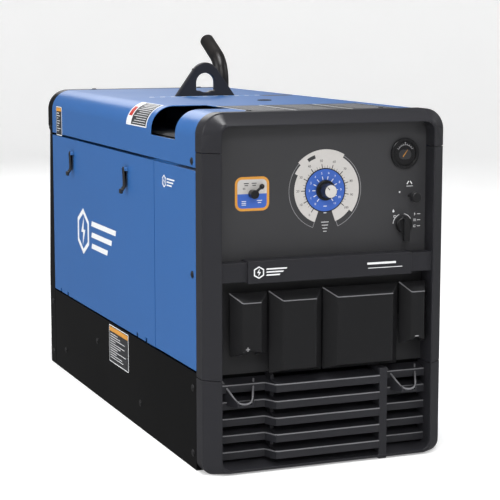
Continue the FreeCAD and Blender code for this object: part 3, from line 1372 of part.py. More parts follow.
dipOuter = cylinder("dip_outer", ("dipX", back("dipAt"), "(crankHigh + dipUp)"), "dipTube", "dipLong")
dipInner = cylinder("dip_inner", ("dipX", back("dipAt"), "(crankHigh + dipUp) + 2"), "dipBore", "dipLong")
dipBracket = box("dip_bracket", ("dipX + dipTube / 2", back("dipAt - dipTube / 2"), "(crankHigh + dipUp)"),
                 ("-engineHalf + engineWall / 2", back("dipAt + dipTube / 2"),
                  "(crankHigh + dipUp) + dipTube"))
dipStand = cut("dipstick_tube_part", fuse("dip_solid", [dipOuter, dipBracket]),
               [dipInner, box("dip_clear", ("-engineHalf", back("engineFront"), "(crankHigh - engineDown)"),
                              ("engineHalf", back("engineRear"), "(crankHigh + engineUp)"))])
node("dipstick_tube", dipStand)
node("dipstick", fuse("dipstick_part", [
    cylinder("dip_rod", ("dipX", back("dipAt"), "(crankHigh + dipUp) + 5"), "dipRod", "dipLong"),
    cylinder("dip_grip", ("dipX", back("dipAt"), "(crankHigh + dipUp + dipLong) + knucklePlay"), "dipGrip",
             "dipGrip * 1.2")]))

batteryCase = roundedBox("battery_case", ("batteryLeft", back("batteryFront"), "batteryLow"),
                         ("batteryLeft + batteryWide", back("batteryFront + batteryLong"),
                          "batteryLow + batteryTall"),
                         "2 * baseWall", Z_AXIS)
posts = [cylinder("battery_post_%d" % i, ("batteryLeft + batteryWide / 4", back("batteryFront + %s" % at),
                                          "batteryLow + batteryTall - 1"), "postRadius", "postTall + 1")
         for i, at in enumerate(("batteryLong / 6", "batteryLong * 5 / 6"))]
tray = box("battery_tray", ("batteryLeft", back("batteryFront - baseWall"), "baseWall"),
           ("batteryLeft + batteryWide + baseWall", back("batteryFront + batteryLong + baseWall"),
            "batteryLow + 1"))
node("battery", fuse("battery_part", [batteryCase, tray] + posts))


def rubberMount(tag, side, at, top):
    """A rubber cone with a steel foot that meets the machine above it."""
    railTop = "crankHigh - railDown + railTall"
    pad = cone(tag + "_pad", ("%d * mountX" % side, back(at), railTop), "mountRadius",
               "mountRadius * mountTaper", "mountTall")
    foot = box(tag + "_foot", ("%d * mountX - mountRadius" % side, back("%s - mountRadius" % at),
                               railTop + " + mountTall"),
               ("%d * mountX + mountRadius" % side, back("%s + mountRadius" % at), top))
    if at == "railFront":
        foot = cut(tag + "_saddle", foot, [onCrank(tag + "_round", "statorRadius", "statorFront",
                                                   "statorRear")])
    return fuse(tag, [pad, foot])


node("engine_mounts", group("engine_mounts_group", [
    rubberMount("mount_%s_%d" % ("front" if at == "railFront" else "rear", side + 1), side, at, top)
    for at, top in (("railFront", "crankHigh - statorRadius + saddleRise"),
                    ("railRear", "(crankHigh - engineDown)")) for side in (-1, 1)]))

adapter = tube("adapter_tube", "statorRadius", "statorRadius - adapterWall", "statorRear",
               "engineFront - adapterWall")
adapterFace = tube("adapter_face", "statorRadius", "crankRadius + shaftRoom", "engineFront - adapterWall",
                   "engineFront")
node("generator_adapter", fuse("generator_adapter_part", [adapter, adapterFace]))

def reactor():
    low = ("reactorLeft", back("reactorFront"), "baseWall")
    high = ("reactorLeft + reactorWide", back("reactorFront + reactorLong / 2"), "baseWall + reactorTall")
    core = box("reactor_core", low, high)
    windows = [box("reactor_window_%d" % i, ("reactorLeft + reactorCore + %s" % shift,
                                             back("reactorFront - 1"),
                                             "baseWall + reactorCore"),
                   ("reactorLeft + reactorCore * 2 + %s" % shift, back("reactorFront + reactorLong"),
                    "baseWall + reactorTall - reactorCore"))
               for i, shift in enumerate(("0", "reactorWide / 2"))]
    coil = box("reactor_coil", ("reactorLeft + reactorCore * 1.5", back("reactorFront + reactorLong / 2 - 1"),
                                "baseWall + reactorCore"),
               ("reactorLeft + reactorWide - reactorCore * 1.5", back("reactorFront + reactorLong"),
                "baseWall + reactorTall - reactorCore"))
    return fuse("weld_reactor_part", [cut("reactor_frame", core, windows), coil])


node("weld_reactor", reactor())


# Screw heads on the sides and the roof.
def caseScrews():
    items = []
    edge = "caseWidth / 2"
    front = "bezelDepth + screwFrontBehind"
    rear = "caseLength - screwRearIn"
    spots = [(front, "screwSideHigh"), (front, "screwFrontHigh"), (rear, "screwSideHigh"),
             (front, "screwBaseHigh"), (front, "screwBaseLow"),
             (rear, "screwBaseHigh"), (rear, "screwBaseLow"),
             ("screwMiddleAt", "screwMiddleHigh"), ("screwTrayFront", "screwTrayHigh"),
             ("screwTrayRear", "screwTrayHigh")]
    for i, (at, high) in enumerate(spots):
        for side in (-1, 1):
            start = "%d * %s" % (side, edge) if side > 0 else "-%s - screwRise" % edge
            items.append(cone("side_screw_%d_%d" % (i, side + 1), (start, back(at), high),
                              "screwRadius * screwTaper" if side < 0 else "screwRadius",
                              "screwRadius" if side < 0 else "screwRadius * screwTaper",
                              "screwRise", ALONG_X))
    for side in (-1, 1):
        for i, at in enumerate(("bezelDepth + screwTopBehind", rear)):
            items.append(cone("roof_screw_%d_%d" % (i, side + 1),
                              ("%d * screwTopX" % side, back(at), "coverHeight"),
                              "screwRadius", "screwRadius * screwTaper", "screwRise"))
    return group("case_screws_group", items)


node("case_screws", caseScrews())

doc.recompute()
faults = [item.Name for item in doc.Objects if "Invalid" in item.State or "Error" in item.State]
faults += [item.Label for item in nodes if item.Shape.isNull() or not item.Shape.isValid()]
if faults:
    raise RuntimeError("failed objects: " + ", ".join(faults))
os.makedirs("parts", exist_ok=True)
for item in nodes:
    item.Shape.exportStep("parts/%s.step" % item.Label)
    bounds = item.Shape.BoundBox
    print("%-24s solids %2d volume %.0f x %.1f %.1f y %.1f %.1f z %.1f %.1f" % (
        item.Label, len(item.Shape.Solids), item.Shape.Volume, bounds.XMin, bounds.XMax,
        bounds.YMin, bounds.YMax, bounds.ZMin, bounds.ZMax))
print(len(nodes), "sub-parts written")
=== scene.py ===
import bpy
import bmesh
import json
import math
import numpy as np
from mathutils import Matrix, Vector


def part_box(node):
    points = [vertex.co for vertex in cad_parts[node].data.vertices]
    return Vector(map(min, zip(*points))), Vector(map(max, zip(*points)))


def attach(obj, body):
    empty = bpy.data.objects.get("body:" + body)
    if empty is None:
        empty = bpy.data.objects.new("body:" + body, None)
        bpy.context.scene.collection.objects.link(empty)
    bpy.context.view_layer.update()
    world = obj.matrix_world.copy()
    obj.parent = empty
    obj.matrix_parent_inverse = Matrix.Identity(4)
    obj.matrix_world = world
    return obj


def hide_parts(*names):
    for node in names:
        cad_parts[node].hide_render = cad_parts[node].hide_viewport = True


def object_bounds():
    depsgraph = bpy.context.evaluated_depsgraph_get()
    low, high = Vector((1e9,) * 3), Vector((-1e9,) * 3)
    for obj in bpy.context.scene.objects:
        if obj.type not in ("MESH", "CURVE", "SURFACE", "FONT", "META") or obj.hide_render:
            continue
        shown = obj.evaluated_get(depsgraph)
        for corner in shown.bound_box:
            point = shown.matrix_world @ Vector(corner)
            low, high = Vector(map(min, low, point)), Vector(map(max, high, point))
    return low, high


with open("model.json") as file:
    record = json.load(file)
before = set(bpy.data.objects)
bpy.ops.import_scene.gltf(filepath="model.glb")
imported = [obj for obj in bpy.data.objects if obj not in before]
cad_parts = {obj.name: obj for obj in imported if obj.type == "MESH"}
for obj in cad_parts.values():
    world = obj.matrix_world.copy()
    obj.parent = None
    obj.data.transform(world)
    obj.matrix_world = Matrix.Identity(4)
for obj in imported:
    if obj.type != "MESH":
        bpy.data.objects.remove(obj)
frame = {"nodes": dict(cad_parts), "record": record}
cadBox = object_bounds()
nodes = frame["nodes"]
bodyOf = {name: body for body, names in frame["record"]["behaviour"]["bodies"].items() for name in names}
mm = 0.001
print("frame loaded with", len(nodes), "nodes")


class Wire:
    # an output that arithmetic can be written on: each operator adds one Math node
    def __init__(self, paint, socket):
        self.paint = paint
        self.socket = socket

    def __add__(self, other):
        return self.paint.math("ADD", self, other)

    def __mul__(self, other):
        return self.paint.math("MULTIPLY", self, other)

    __radd__ = __add__
    __rmul__ = __mul__


class Paint:
    # one material: a Principled shader, its object coordinates and the nodes that feed it
    def __init__(self, name, **fixed):
        self.material = bpy.data.materials.new(name)
        self.material.use_nodes = True
        self.tree = self.material.node_tree
        self.tree.nodes.clear()
        self.shader = self.tree.nodes.new("ShaderNodeBsdfPrincipled")
        output = self.tree.nodes.new("ShaderNodeOutputMaterial")
        self.tree.links.new(self.shader.outputs["BSDF"], output.inputs["Surface"])
        for socket, value in fixed.items():
            self.shader.inputs[socket.replace("_", " ")].default_value = value
        self.place = self.node("TexCoord", {}, {}, "Object")

    def node(self, kind, settings, sockets, result=0):
        made = self.tree.nodes.new("ShaderNode" + kind)
        for key, value in settings.items():
            setattr(made, key, value)
        for key, value in sockets.items():
            if isinstance(value, Wire):
                self.tree.links.new(value.socket, made.inputs[key])
            else:
                made.inputs[key].default_value = value
        return Wire(self, made.outputs[result])

    def math(self, operation, first, second):
        return self.node("Math", {"operation": operation}, {0: first, 1: second})

    def stretched(self, scale):
        return self.node("VectorMath", {"operation": "MULTIPLY"}, {0: self.place, 1: scale})

    def noise(self, scale, detail=2.0, place=None):
        sockets = {"Vector": place or self.place, "Scale": scale, "Detail": detail}
        return self.node("TexNoise", {}, sockets, "Fac")

    def step(self, value, low, high):
        return self.node("MapRange", {"clamp": True}, {"Value": value, "From Min": low, "From Max": high})

    def mix(self, share, first, second):
        return self.node("Mix", {"data_type": "RGBA"}, {0: share, 6: first, 7: second}, 2)

    def feed(self, socket, value):
        self.tree.links.new(value.socket, self.shader.inputs[socket])

    def bump(self, height, depth, strength=1.0):
        sockets = {"Height": height, "Distance": depth, "Strength": strength}
        self.feed("Normal", self.node("Bump", {}, sockets))


def shade(colour, factor):
    return tuple(min(part * factor, 1.0) for part in colour) + (1.0,)


coat = {"clouds": 3.1, "speckFiner": 1.7, "cloudTone": 0.7, "speckTone": 0.3, "cloudGloss": 0.10,
        "speckGloss": 0.08, "middleGloss": 0.09}


def coated(name, colour, rough, peel, peelDepth, cloud=0.12, **fixed):
    # powder coat and moulded skin: slow cloudy tone, fine grain in the gloss, peel in the surface
    paint = Paint(name, **fixed)
    clouds = paint.noise(coat["clouds"], 4.0)
    speck = paint.noise(peel * coat["speckFiner"], 1.0)
    tone = clouds * coat["cloudTone"] + speck * coat["speckTone"]
    gloss = clouds * coat["cloudGloss"] + speck * coat["speckGloss"]
    paint.feed("Base Color", paint.mix(tone, shade(colour, 1 - cloud), shade(colour, 1 + cloud)))
    paint.feed("Roughness", gloss + (rough - coat["middleGloss"]))
    paint.bump(paint.noise(peel), peelDepth)
    return paint.material


metal = {"stains": 23.0, "stainEdge": (0.42, 0.68), "stain": 0.35, "stainTone": 0.62, "scratchGloss": 0.18,
         "stainGloss": 0.14, "middleGloss": 0.09, "scratchDepth": 0.00012, "scratchStrength": 0.6}


def bareMetal(name, colour, rough, grain, stretch=(1, 1, 1)):
    # worked metal: fine directional scratches, soft stains that dull the gloss
    paint = Paint(name, Metallic=1.0)
    scratch = paint.noise(grain, 3.0, paint.stretched(stretch))
    stains = paint.step(paint.noise(metal["stains"], 4.0), *metal["stainEdge"])
    gloss = scratch * metal["scratchGloss"] + stains * metal["stainGloss"]
    paint.feed("Base Color", paint.mix(stains * metal["stain"], shade(colour, 1.0),
                                       shade(colour, metal["stainTone"])))
    paint.feed("Roughness", gloss + (rough - metal["middleGloss"]))
    paint.bump(scratch, metal["scratchDepth"], metal["scratchStrength"])
    return paint.material


inkFilm = {"grain": 190.0, "thin": 0.93, "thick": 1.04, "rough": 0.39, "grainGloss": 0.12, "weave": 1500.0,
           "weaveDepth": 0.00003}


def printed(name, colour):
    # screen-printed ink: a slightly uneven film with a faint weave from the screen
    paint = Paint(name)
    grain = paint.noise(inkFilm["grain"], 3.0)
    paint.feed("Base Color", paint.mix(grain, shade(colour, inkFilm["thin"]),
                                       shade(colour, inkFilm["thick"])))
    paint.feed("Roughness", grain * inkFilm["grainGloss"] + inkFilm["rough"])
    paint.bump(paint.noise(inkFilm["weave"], 1.0), inkFilm["weaveDepth"])
    return paint.material


stack = {
    "patches": 38.0, "patchEdge": (0.38, 0.7), "brownFrom": (0.66, 0.82), "black": (0.006, 0.006, 0.007, 1),
    "brown": (0.016, 0.012, 0.010, 1), "rough": 0.28, "patchGloss": 0.2, "grain": 520.0,
    "grainDepth": 0.00015,
}


def heatedSteel(name):
    # black heat paint that browns and dulls in patches towards the top of the stack
    paint = Paint(name, Specular_IOR_Level=0.4)
    patches = paint.step(paint.noise(stack["patches"], 5.0), *stack["patchEdge"])
    height = paint.step(paint.node("SeparateXYZ", {}, {"Vector": paint.place}, "Z"), *stack["brownFrom"])
    paint.feed("Base Color", paint.mix(patches * height, stack["black"], stack["brown"]))
    paint.feed("Roughness", patches * stack["patchGloss"] + stack["rough"])
    paint.bump(paint.noise(stack["grain"]), stack["grainDepth"])
    return paint.material


casting = {"grain": 420.0, "grainDepth": 0.0004, "grainGloss": 0.25, "rough": 0.38, "stains": 17.0,
           "darkest": 0.7, "lightest": 1.1}


def castMetal(name, colour):
    # sand-cast aluminium: a grainy skin and a slowly changing tone
    paint = Paint(name, Metallic=0.85)
    grain = paint.noise(casting["grain"], 4.0)
    stains = paint.noise(casting["stains"], 4.0)
    paint.feed("Base Color", paint.mix(stains, shade(colour, casting["darkest"]),
                                       shade(colour, casting["lightest"])))
    paint.feed("Roughness", grain * casting["grainGloss"] + casting["rough"])
    paint.bump(grain, casting["grainDepth"])
    return paint.material


lamination = {
    "perMetre": 3100.0, "varnish": 31.0, "dark": (0.05, 0.045, 0.04, 1), "light": (0.13, 0.11, 0.09, 1),
    "varnishGloss": 0.25, "rough": 0.35, "edge": 0.5, "lump": 0.4, "depth": 0.0004,
}


def laminated(name):
    # varnished stack of thin steel laminations along the shaft: a sine of the distance along it
    paint = Paint(name, Metallic=0.6)
    along = paint.node("SeparateXYZ", {}, {"Vector": paint.place}, "Y")
    sheets = paint.math("SINE", along * lamination["perMetre"], 0.0)
    cloud = paint.noise(lamination["varnish"], 4.0)
    paint.feed("Base Color", paint.mix(cloud, lamination["dark"], lamination["light"]))
    paint.feed("Roughness", cloud * lamination["varnishGloss"] + lamination["rough"])
    paint.bump(sheets * lamination["edge"] + cloud * lamination["lump"], lamination["depth"])
    return paint.material


finishes = {
    "bezel": coated("satinBezel", (0.024, 0.024, 0.028), 0.36, 900, 0.00010, Specular_IOR_Level=0.3),
    # painted highlight: this pale grey, far lighter than the dark plastics, is worn by the beads on the
    # grille and cover edges to draw their bright edge lines
    "paintedHighlightLip": coated("paintedHighlightLip", (0.16, 0.16, 0.17), 0.3, 900, 0.00003),
    "control_face": coated("controlFace", (0.046, 0.046, 0.049), 0.5, 1300, 0.00008,
                           Specular_IOR_Level=0.3),
    "panel_steel": coated("darkPanel", (0.020, 0.020, 0.022), 0.5, 1100, 0.00008),
    "cover_plastic": coated("mouldedCover", (0.014, 0.014, 0.015), 0.3, 1000, 0.00009,
                            Specular_IOR_Level=0.3),
    "blue_paint": coated("bluePowder", (0.020, 0.122, 0.375), 0.42, 620, 0.00006, 0.05, Coat_Weight=0.2,
                         Coat_Roughness=0.22),
    "black_paint": coated("blackPowder", (0.0025, 0.0025, 0.003), 0.4, 700, 0.00008,
                          Specular_IOR_Level=0.12),
    "exhaust_steel": heatedSteel("heatedStack"),
    "tank_plastic": coated("tankPlastic", (0.075, 0.075, 0.078), 0.42, 500, 0.0002),
    "cap_plastic": coated("capPlastic", (0.13, 0.13, 0.135), 0.45, 900, 0.0001),
    "rubber": coated("blackRubber", (0.016, 0.016, 0.016), 0.72, 800, 0.0002, 0.2),
    "knob_plastic": coated("knobPlastic", (0.013, 0.013, 0.014), 0.3, 1500, 0.00004, Coat_Weight=0.2),
    "gauge_plastic": coated("gaugePlastic", (0.012, 0.012, 0.013), 0.24, 1500, 0.00003, Coat_Weight=0.3),
    "zinc_steel": bareMetal("zincPlate", (0.55, 0.55, 0.53), 0.34, 240),
    "brass": bareMetal("turnedBrass", (0.72, 0.50, 0.22), 0.28, 600, (1, 0.1, 1)),
    "insulator": coated("phenolic", (0.020, 0.018, 0.016), 0.4, 700, 0.0001, 0.25),
    "button_red": coated("redButton", (0.42, 0.02, 0.015), 0.35, 1200, 0.00004),
    "cast_aluminium": castMetal("castAluminium", (0.50, 0.50, 0.51)),
    "machined_steel": bareMetal("machinedSteel", (0.46, 0.45, 0.44), 0.3, 700, (1, 0.05, 1)),
    "stator_steel": laminated("laminations"),
    "engine_black": coated("engineBlack", (0.018, 0.018, 0.019), 0.4, 600, 0.00015),
}
inks = {
    "white": printed("whiteInk", (0.80, 0.81, 0.82)),
    "grey": printed("greyInk", (0.56, 0.54, 0.52)),
    "blue": printed("blueInk", (0.035, 0.12, 0.50)),
    "orange": printed("orangeInk", (0.68, 0.30, 0.035)),
    "black": printed("blackInk", (0.010, 0.010, 0.011)),
    "dark": printed("darkLabel", (0.035, 0.036, 0.040)),
    "red": printed("redInk", (0.50, 0.03, 0.02)),
    "pale": printed("paleLine", (0.33, 0.33, 0.34)),
    "sky": printed("skyInk", (0.22, 0.42, 0.72)),
}
print("finishes mixed:", len(finishes) + len(inks))

# how far the edges of a CAD piece are rounded, in millimetres; the others only get smooth curved faces
edges = {
    "bezel_middle": 1.2, "lower_grille": 0.8,
    "terminal_cover_left": 1.8, "receptacle_cover_left": 1.8, "receptacle_cover_right": 1.8,
    "terminal_cover_right": 1.8, "left_front_panel": 1.2, "right_side_panel": 1.2,
    "top_cover": 1.0, "rear_panel": 1.2, "base_pan": 1.0, "lifting_bail": 2.2, "latch_front": 1.0,
    "latch_rear": 1.0, "output_knob": 0.8, "process_knob": 0.5, "engine_switch": 0.9, "choke_knob": 1.0,
    "fuel_gauge": 0.8, "fuel_cap": 0.7, "exhaust_pipe": 0.3, "fuel_tank": 1.5, "battery": 1.5,
    "duplex_receptacle": 0.8, "power_receptacle": 0.8, "circuit_breakers": 0.4, "stud_nuts": 0.5,
    "stud_insulators": 0.5, "weld_studs": 0.3, "engine_crankcase": 2.5, "cylinder_heads": 1.5,
    "blower_housing": 1.0, "starter_motor": 1.0, "carburettor": 1.5, "lift_frame": 1.2, "weld_reactor": 1.5,
    "dipstick": 0.6, "test_button": 0.5, "reset_button": 0.5, "generator_adapter": 1.0,
    "generator_end_bell": 1.0, "muffler": 0.5, "air_cleaner": 1.0, "engine_mounts": 0.5,
}


plainFold = 32.0  # an edge that turns further than this many degrees stays sharp
folds = {  # plastic mouldings whose shallow folds stay crisp
    "terminal_cover_left": 14.0, "receptacle_cover_left": 14.0, "receptacle_cover_right": 14.0,
    "terminal_cover_right": 14.0, "lower_grille": 14.0,
}
# pieces that wear another finish than the one of their slot
repainted = {"latch_front": "engine_black", "latch_rear": "engine_black", "lifting_bail": "bezel"}


def finishOf(node):
    return nodes[node].data.materials[0].name.split(".")[0]


def added(name, mesh, body, material, rounding=0.0, angle=plainFold):
    mesh.shade_smooth()
    mesh.set_sharp_from_angle(angle=math.radians(angle))
    mesh.materials.clear()
    mesh.materials.append(material)
    piece = bpy.data.objects.new(name, mesh)
    bpy.context.scene.collection.objects.link(piece)
    if rounding:
        bevel = piece.modifiers.new("rounding", "BEVEL")
        bevel.width = rounding * mm
        bevel.segments = 2
        bevel.limit_method = "ANGLE"
        bevel.angle_limit = math.radians(angle)
        bevel.use_clamp_overlap = False
        bevel.miter_outer = "MITER_ARC"
    flats = piece.modifiers.new("flats", "WEIGHTED_NORMAL")
    flats.mode = "FACE_AREA_WITH_ANGLE"
    flats.weight = 80
    flats.keep_sharp = True
    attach(piece, body)
    return piece


def dress(node):
    # the CAD piece with its loose triangles joined, flat faces made whole and edges rounded
    work = bmesh.new()
    work.from_mesh(nodes[node].data)
    bmesh.ops.remove_doubles(work, verts=work.verts, dist=2e-6)
    if node in edges:
        bmesh.ops.dissolve_limit(work, angle_limit=math.radians(0.6), verts=work.verts, edges=work.edges)
    mesh = bpy.data.meshes.new(node + "_skin")
    work.to_mesh(mesh)
    work.free()
    slot = finishOf(node)
    paint = finishes[repainted.get(node, slot)]
    piece = added(node + "_skin", mesh, bodyOf[node], paint, edges.get(node, 0.0),
                  folds.get(node, plainFold))
    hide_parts(node)


dressedNodes = [node for node in sorted(nodes) if node != "case_screws"]
for node in dressedNodes:
    dress(node)
print("CAD pieces dressed:", len(dressedNodes))


class Side:
    # a flat place on the object: millimetres across, up and out of it become points of the frame
    def __init__(self, origin, right, up):
        self.origin = np.array(origin, float)
        self.right = np.array(right, float)
        self.up = np.array(up, float)
        self.out = np.cross(self.right, self.up)

    def points(self, across, up, out):
        across, up, out = np.broadcast_arrays(across, up, out)
        spread = across[..., None] * self.right + up[..., None] * self.up + out[..., None] * self.out
        return self.origin + spread * mm


def low(node):
    return np.array(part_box(node)[0])


def high(node):
    return np.array(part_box(node)[1])


def frontAt(x, z, y):
    return Side((x * mm, y, z * mm), (1, 0, 0), (0, 0, 1))


def slab(side, outline, bottom, top):
    # outline is the rim, counterclockwise; the solid is that rim lifted from bottom to top
    rim = np.asarray(outline, float)
    count = len(rim)
    ends = [side.points(rim[:, 0], rim[:, 1], level) for level in (bottom, top)]
    lower = np.arange(count)
    after = (lower + 1) % count
    walls = np.stack([lower, after, after + count, lower + count], axis=1).tolist()
    return np.concatenate(ends), walls + [lower[::-1].tolist(), (lower + count).tolist()]


def surface(points, aroundRows=False):
    # quads over a grid of points: columns join last to first, rows do so too or else get end caps
    rows, columns = points.shape[:2]
    row = np.arange(rows if aroundRows else rows - 1)[:, None]
    column = np.arange(columns)[None, :]
    nextRow, nextColumn = (row + 1) % rows, (column + 1) % columns
    quads = np.stack([row * columns + column, row * columns + nextColumn, nextRow * columns + nextColumn,
                      nextRow * columns + column], axis=-1).reshape(-1, 4).tolist()
    if not aroundRows:
        quads += [np.arange(columns)[::-1].tolist(), ((rows - 1) * columns + np.arange(columns)).tolist()]
    return points.reshape(-1, 3), quads


def arcBand(side, inner, outer, start, end, bottom, top):
    # a rectangle section carried round an arc: angle clockwise from the top, radius from inner to outer
    whole = abs(end - start) >= 359.9
    steps = max(3, int(abs(end - start) / 3))
    angle = np.radians(np.linspace(start, end, steps, endpoint=not whole))[:, None]
    radius = np.array([inner, outer, outer, inner])[None, :]
    rise = np.array([bottom, bottom, top, top])[None, :]
    return surface(side.points(np.sin(angle) * radius, np.cos(angle) * radius, rise), aroundRows=whole)


def turned(side, profile, count=40):
    # a profile of (radius, rise) turned once round the side's outward axis
    radius, rise = np.array(profile, float).T[:, :, None]
    angle = np.linspace(0, 2 * math.pi, count, endpoint=False)[None, :]
    return surface(side.points(radius * np.cos(angle), radius * np.sin(angle), rise))


def tube(path, radius, count=12):
    # a circle carried along a path: its two radii are square to the path and to a steady reference
    path = np.asarray(path, float)
    along = np.gradient(path, axis=0)
    along /= np.linalg.norm(along, axis=1)[:, None]
    chord = path[-1] - path[0]
    steady = np.eye(3)[np.argmin(np.abs(chord))]
    first = np.cross(along, steady)
    first /= np.linalg.norm(first, axis=1)[:, None]
    second = np.cross(along, first)
    angle = np.linspace(0, 2 * math.pi, count, endpoint=False)
    ring = np.cos(angle)[None, :, None] * first[:, None] + np.sin(angle)[None, :, None] * second[:, None]
    return surface(path[:, None] + ring * (radius * mm))


def rounded(path, reach):
    # each inner corner of a path becomes a quadratic curve that starts and ends a set distance from it
    before, corner, after = path[:-2], path[1:-1], path[2:]
    back = before - corner
    ahead = after - corner
    first = corner + back / np.linalg.norm(back, axis=1)[:, None] * reach
    last = corner + ahead / np.linalg.norm(ahead, axis=1)[:, None] * reach
    share = np.linspace(0, 1, 7)[None, :, None]
    bend = ((1 - share) ** 2 * first[:, None] + 2 * share * (1 - share) * corner[:, None]
            + share ** 2 * last[:, None])
    return np.concatenate([path[:1], bend.reshape(-1, 3), path[-1:]])


def disc(radius, count=48):
    angle = np.linspace(0, 2 * math.pi, count, endpoint=False)
    return np.stack([np.cos(angle), np.sin(angle)], axis=1) * radius


def roundedRect(wide, tall, corner, centre=(0.0, 0.0)):
    # four quarter arcs of seven points each, counterclockwise from the right
    angle = np.radians(np.arange(4)[:, None] * 90 + np.linspace(0, 90, 7))
    across = np.array([1, -1, -1, 1])[:, None] * (wide / 2 - corner) + np.cos(angle) * corner
    up = np.array([1, 1, -1, -1])[:, None] * (tall / 2 - corner) + np.sin(angle) * corner
    return np.stack([across.ravel() + centre[0], up.ravel() + centre[1]], axis=1)


def bar(across, up, wide, tall, turn=0.0):
    # a rectangle about its centre, turned clockwise
    corner = np.array([[-1, -1], [1, -1], [1, 1], [-1, 1]]) * (wide / 2, tall / 2)
    c, s = math.cos(math.radians(turn)), math.sin(math.radians(turn))
    return corner @ np.array([[c, -s], [s, c]]) + (across, up)


def lettering(side, text, size, across, up, bottom, top):
    # an upright number about its centre, as a solid from bottom to top
    curve = bpy.data.curves.new("lettering", "FONT")
    curve.body = text
    curve.size = size
    curve.align_x = "CENTER"
    curve.align_y = "CENTER"
    curve.resolution_u = 3
    holder = bpy.data.objects.new("lettering", curve)
    bpy.context.scene.collection.objects.link(holder)
    curve.extrude = (top - bottom) / 2
    bpy.context.view_layer.update()
    mesh = bpy.data.meshes.new_from_object(holder)
    co = np.zeros(len(mesh.vertices) * 3)
    mesh.vertices.foreach_get("co", co)
    co = co.reshape(-1, 3)
    faces = [list(face.vertices) for face in mesh.polygons]
    bpy.data.objects.remove(holder)
    bpy.data.meshes.remove(mesh)
    return side.points(co[:, 0] + across, co[:, 1] + up, co[:, 2] + (top + bottom) / 2), faces


def made(name, shapes, body, slot, material):
    # one piece from many closed shapes, doubles merged and faces turned outwards
    points, faces, start = [], [], 0
    for vertices, polygons in shapes:
        points.append(vertices)
        faces += [[index + start for index in polygon] for polygon in polygons]
        start += len(vertices)
    mesh = bpy.data.meshes.new(name)
    mesh.from_pydata(np.concatenate(points).tolist(), [], faces)
    work = bmesh.new()
    work.from_mesh(mesh)
    bmesh.ops.remove_doubles(work, verts=work.verts, dist=1e-7)
    bmesh.ops.dissolve_degenerate(work, edges=work.edges, dist=1e-7)
    bmesh.ops.recalc_face_normals(work, faces=work.faces)
    work.to_mesh(mesh)
    work.free()
    return added(name, mesh, body, material)


# how far prints stand off, layer by layer
film = {"bottom": -0.15, "first": 0.25, "second": 0.4, "third": 0.55}


def printOn(name, side, outlines, ink, body, slot, layer="first", extra=()):
    shapes = [slab(side, outline, film["bottom"], film[layer]) for outline in outlines]
    made(name, shapes + list(extra), body, slot, inks[ink])


dial = {
    "blue": (12.3, 41), "rim": 43, "grey": 65, "bands": (65, 72, 79), "wedge": 19.5,
    "major": 27.35, "first": 215.0, "majors": 11, "inner": 25.8, "innerFirst": 218.0, "inners": 12,
    "outerBand": (-46, 31), "innerBands": ((-18, 128), (-62, -32)),
    "lines": ((200, 314), (31, 159)), "line": 76, "lineHalf": 0.4, "ticksAt": (200, 159),
    "tick": (70, 0.8, 12),  # a tick is its radius, width and length, and a number its radius and height
    "bigNumbers": (57.5, 6.6), "smallNumbers": (33.5, 6.2), "smallTicks": (24, 1.6, 6.5),
    "cap": [(0, 0.5), (11.2, 0.5), (12.2, 0.1), (12.2, -0.4), (0, -0.4)],
    "skirt": [(0, 0), (19, 0), (20, 1), (20, 3.2), (17.5, 5.5), (0, 5.5)], "skirtOut": 1.2,
}


def around(radius, degrees):
    # the place at a radius from the middle, at an angle clockwise from the top
    return radius * math.sin(math.radians(degrees)), radius * math.cos(math.radians(degrees))


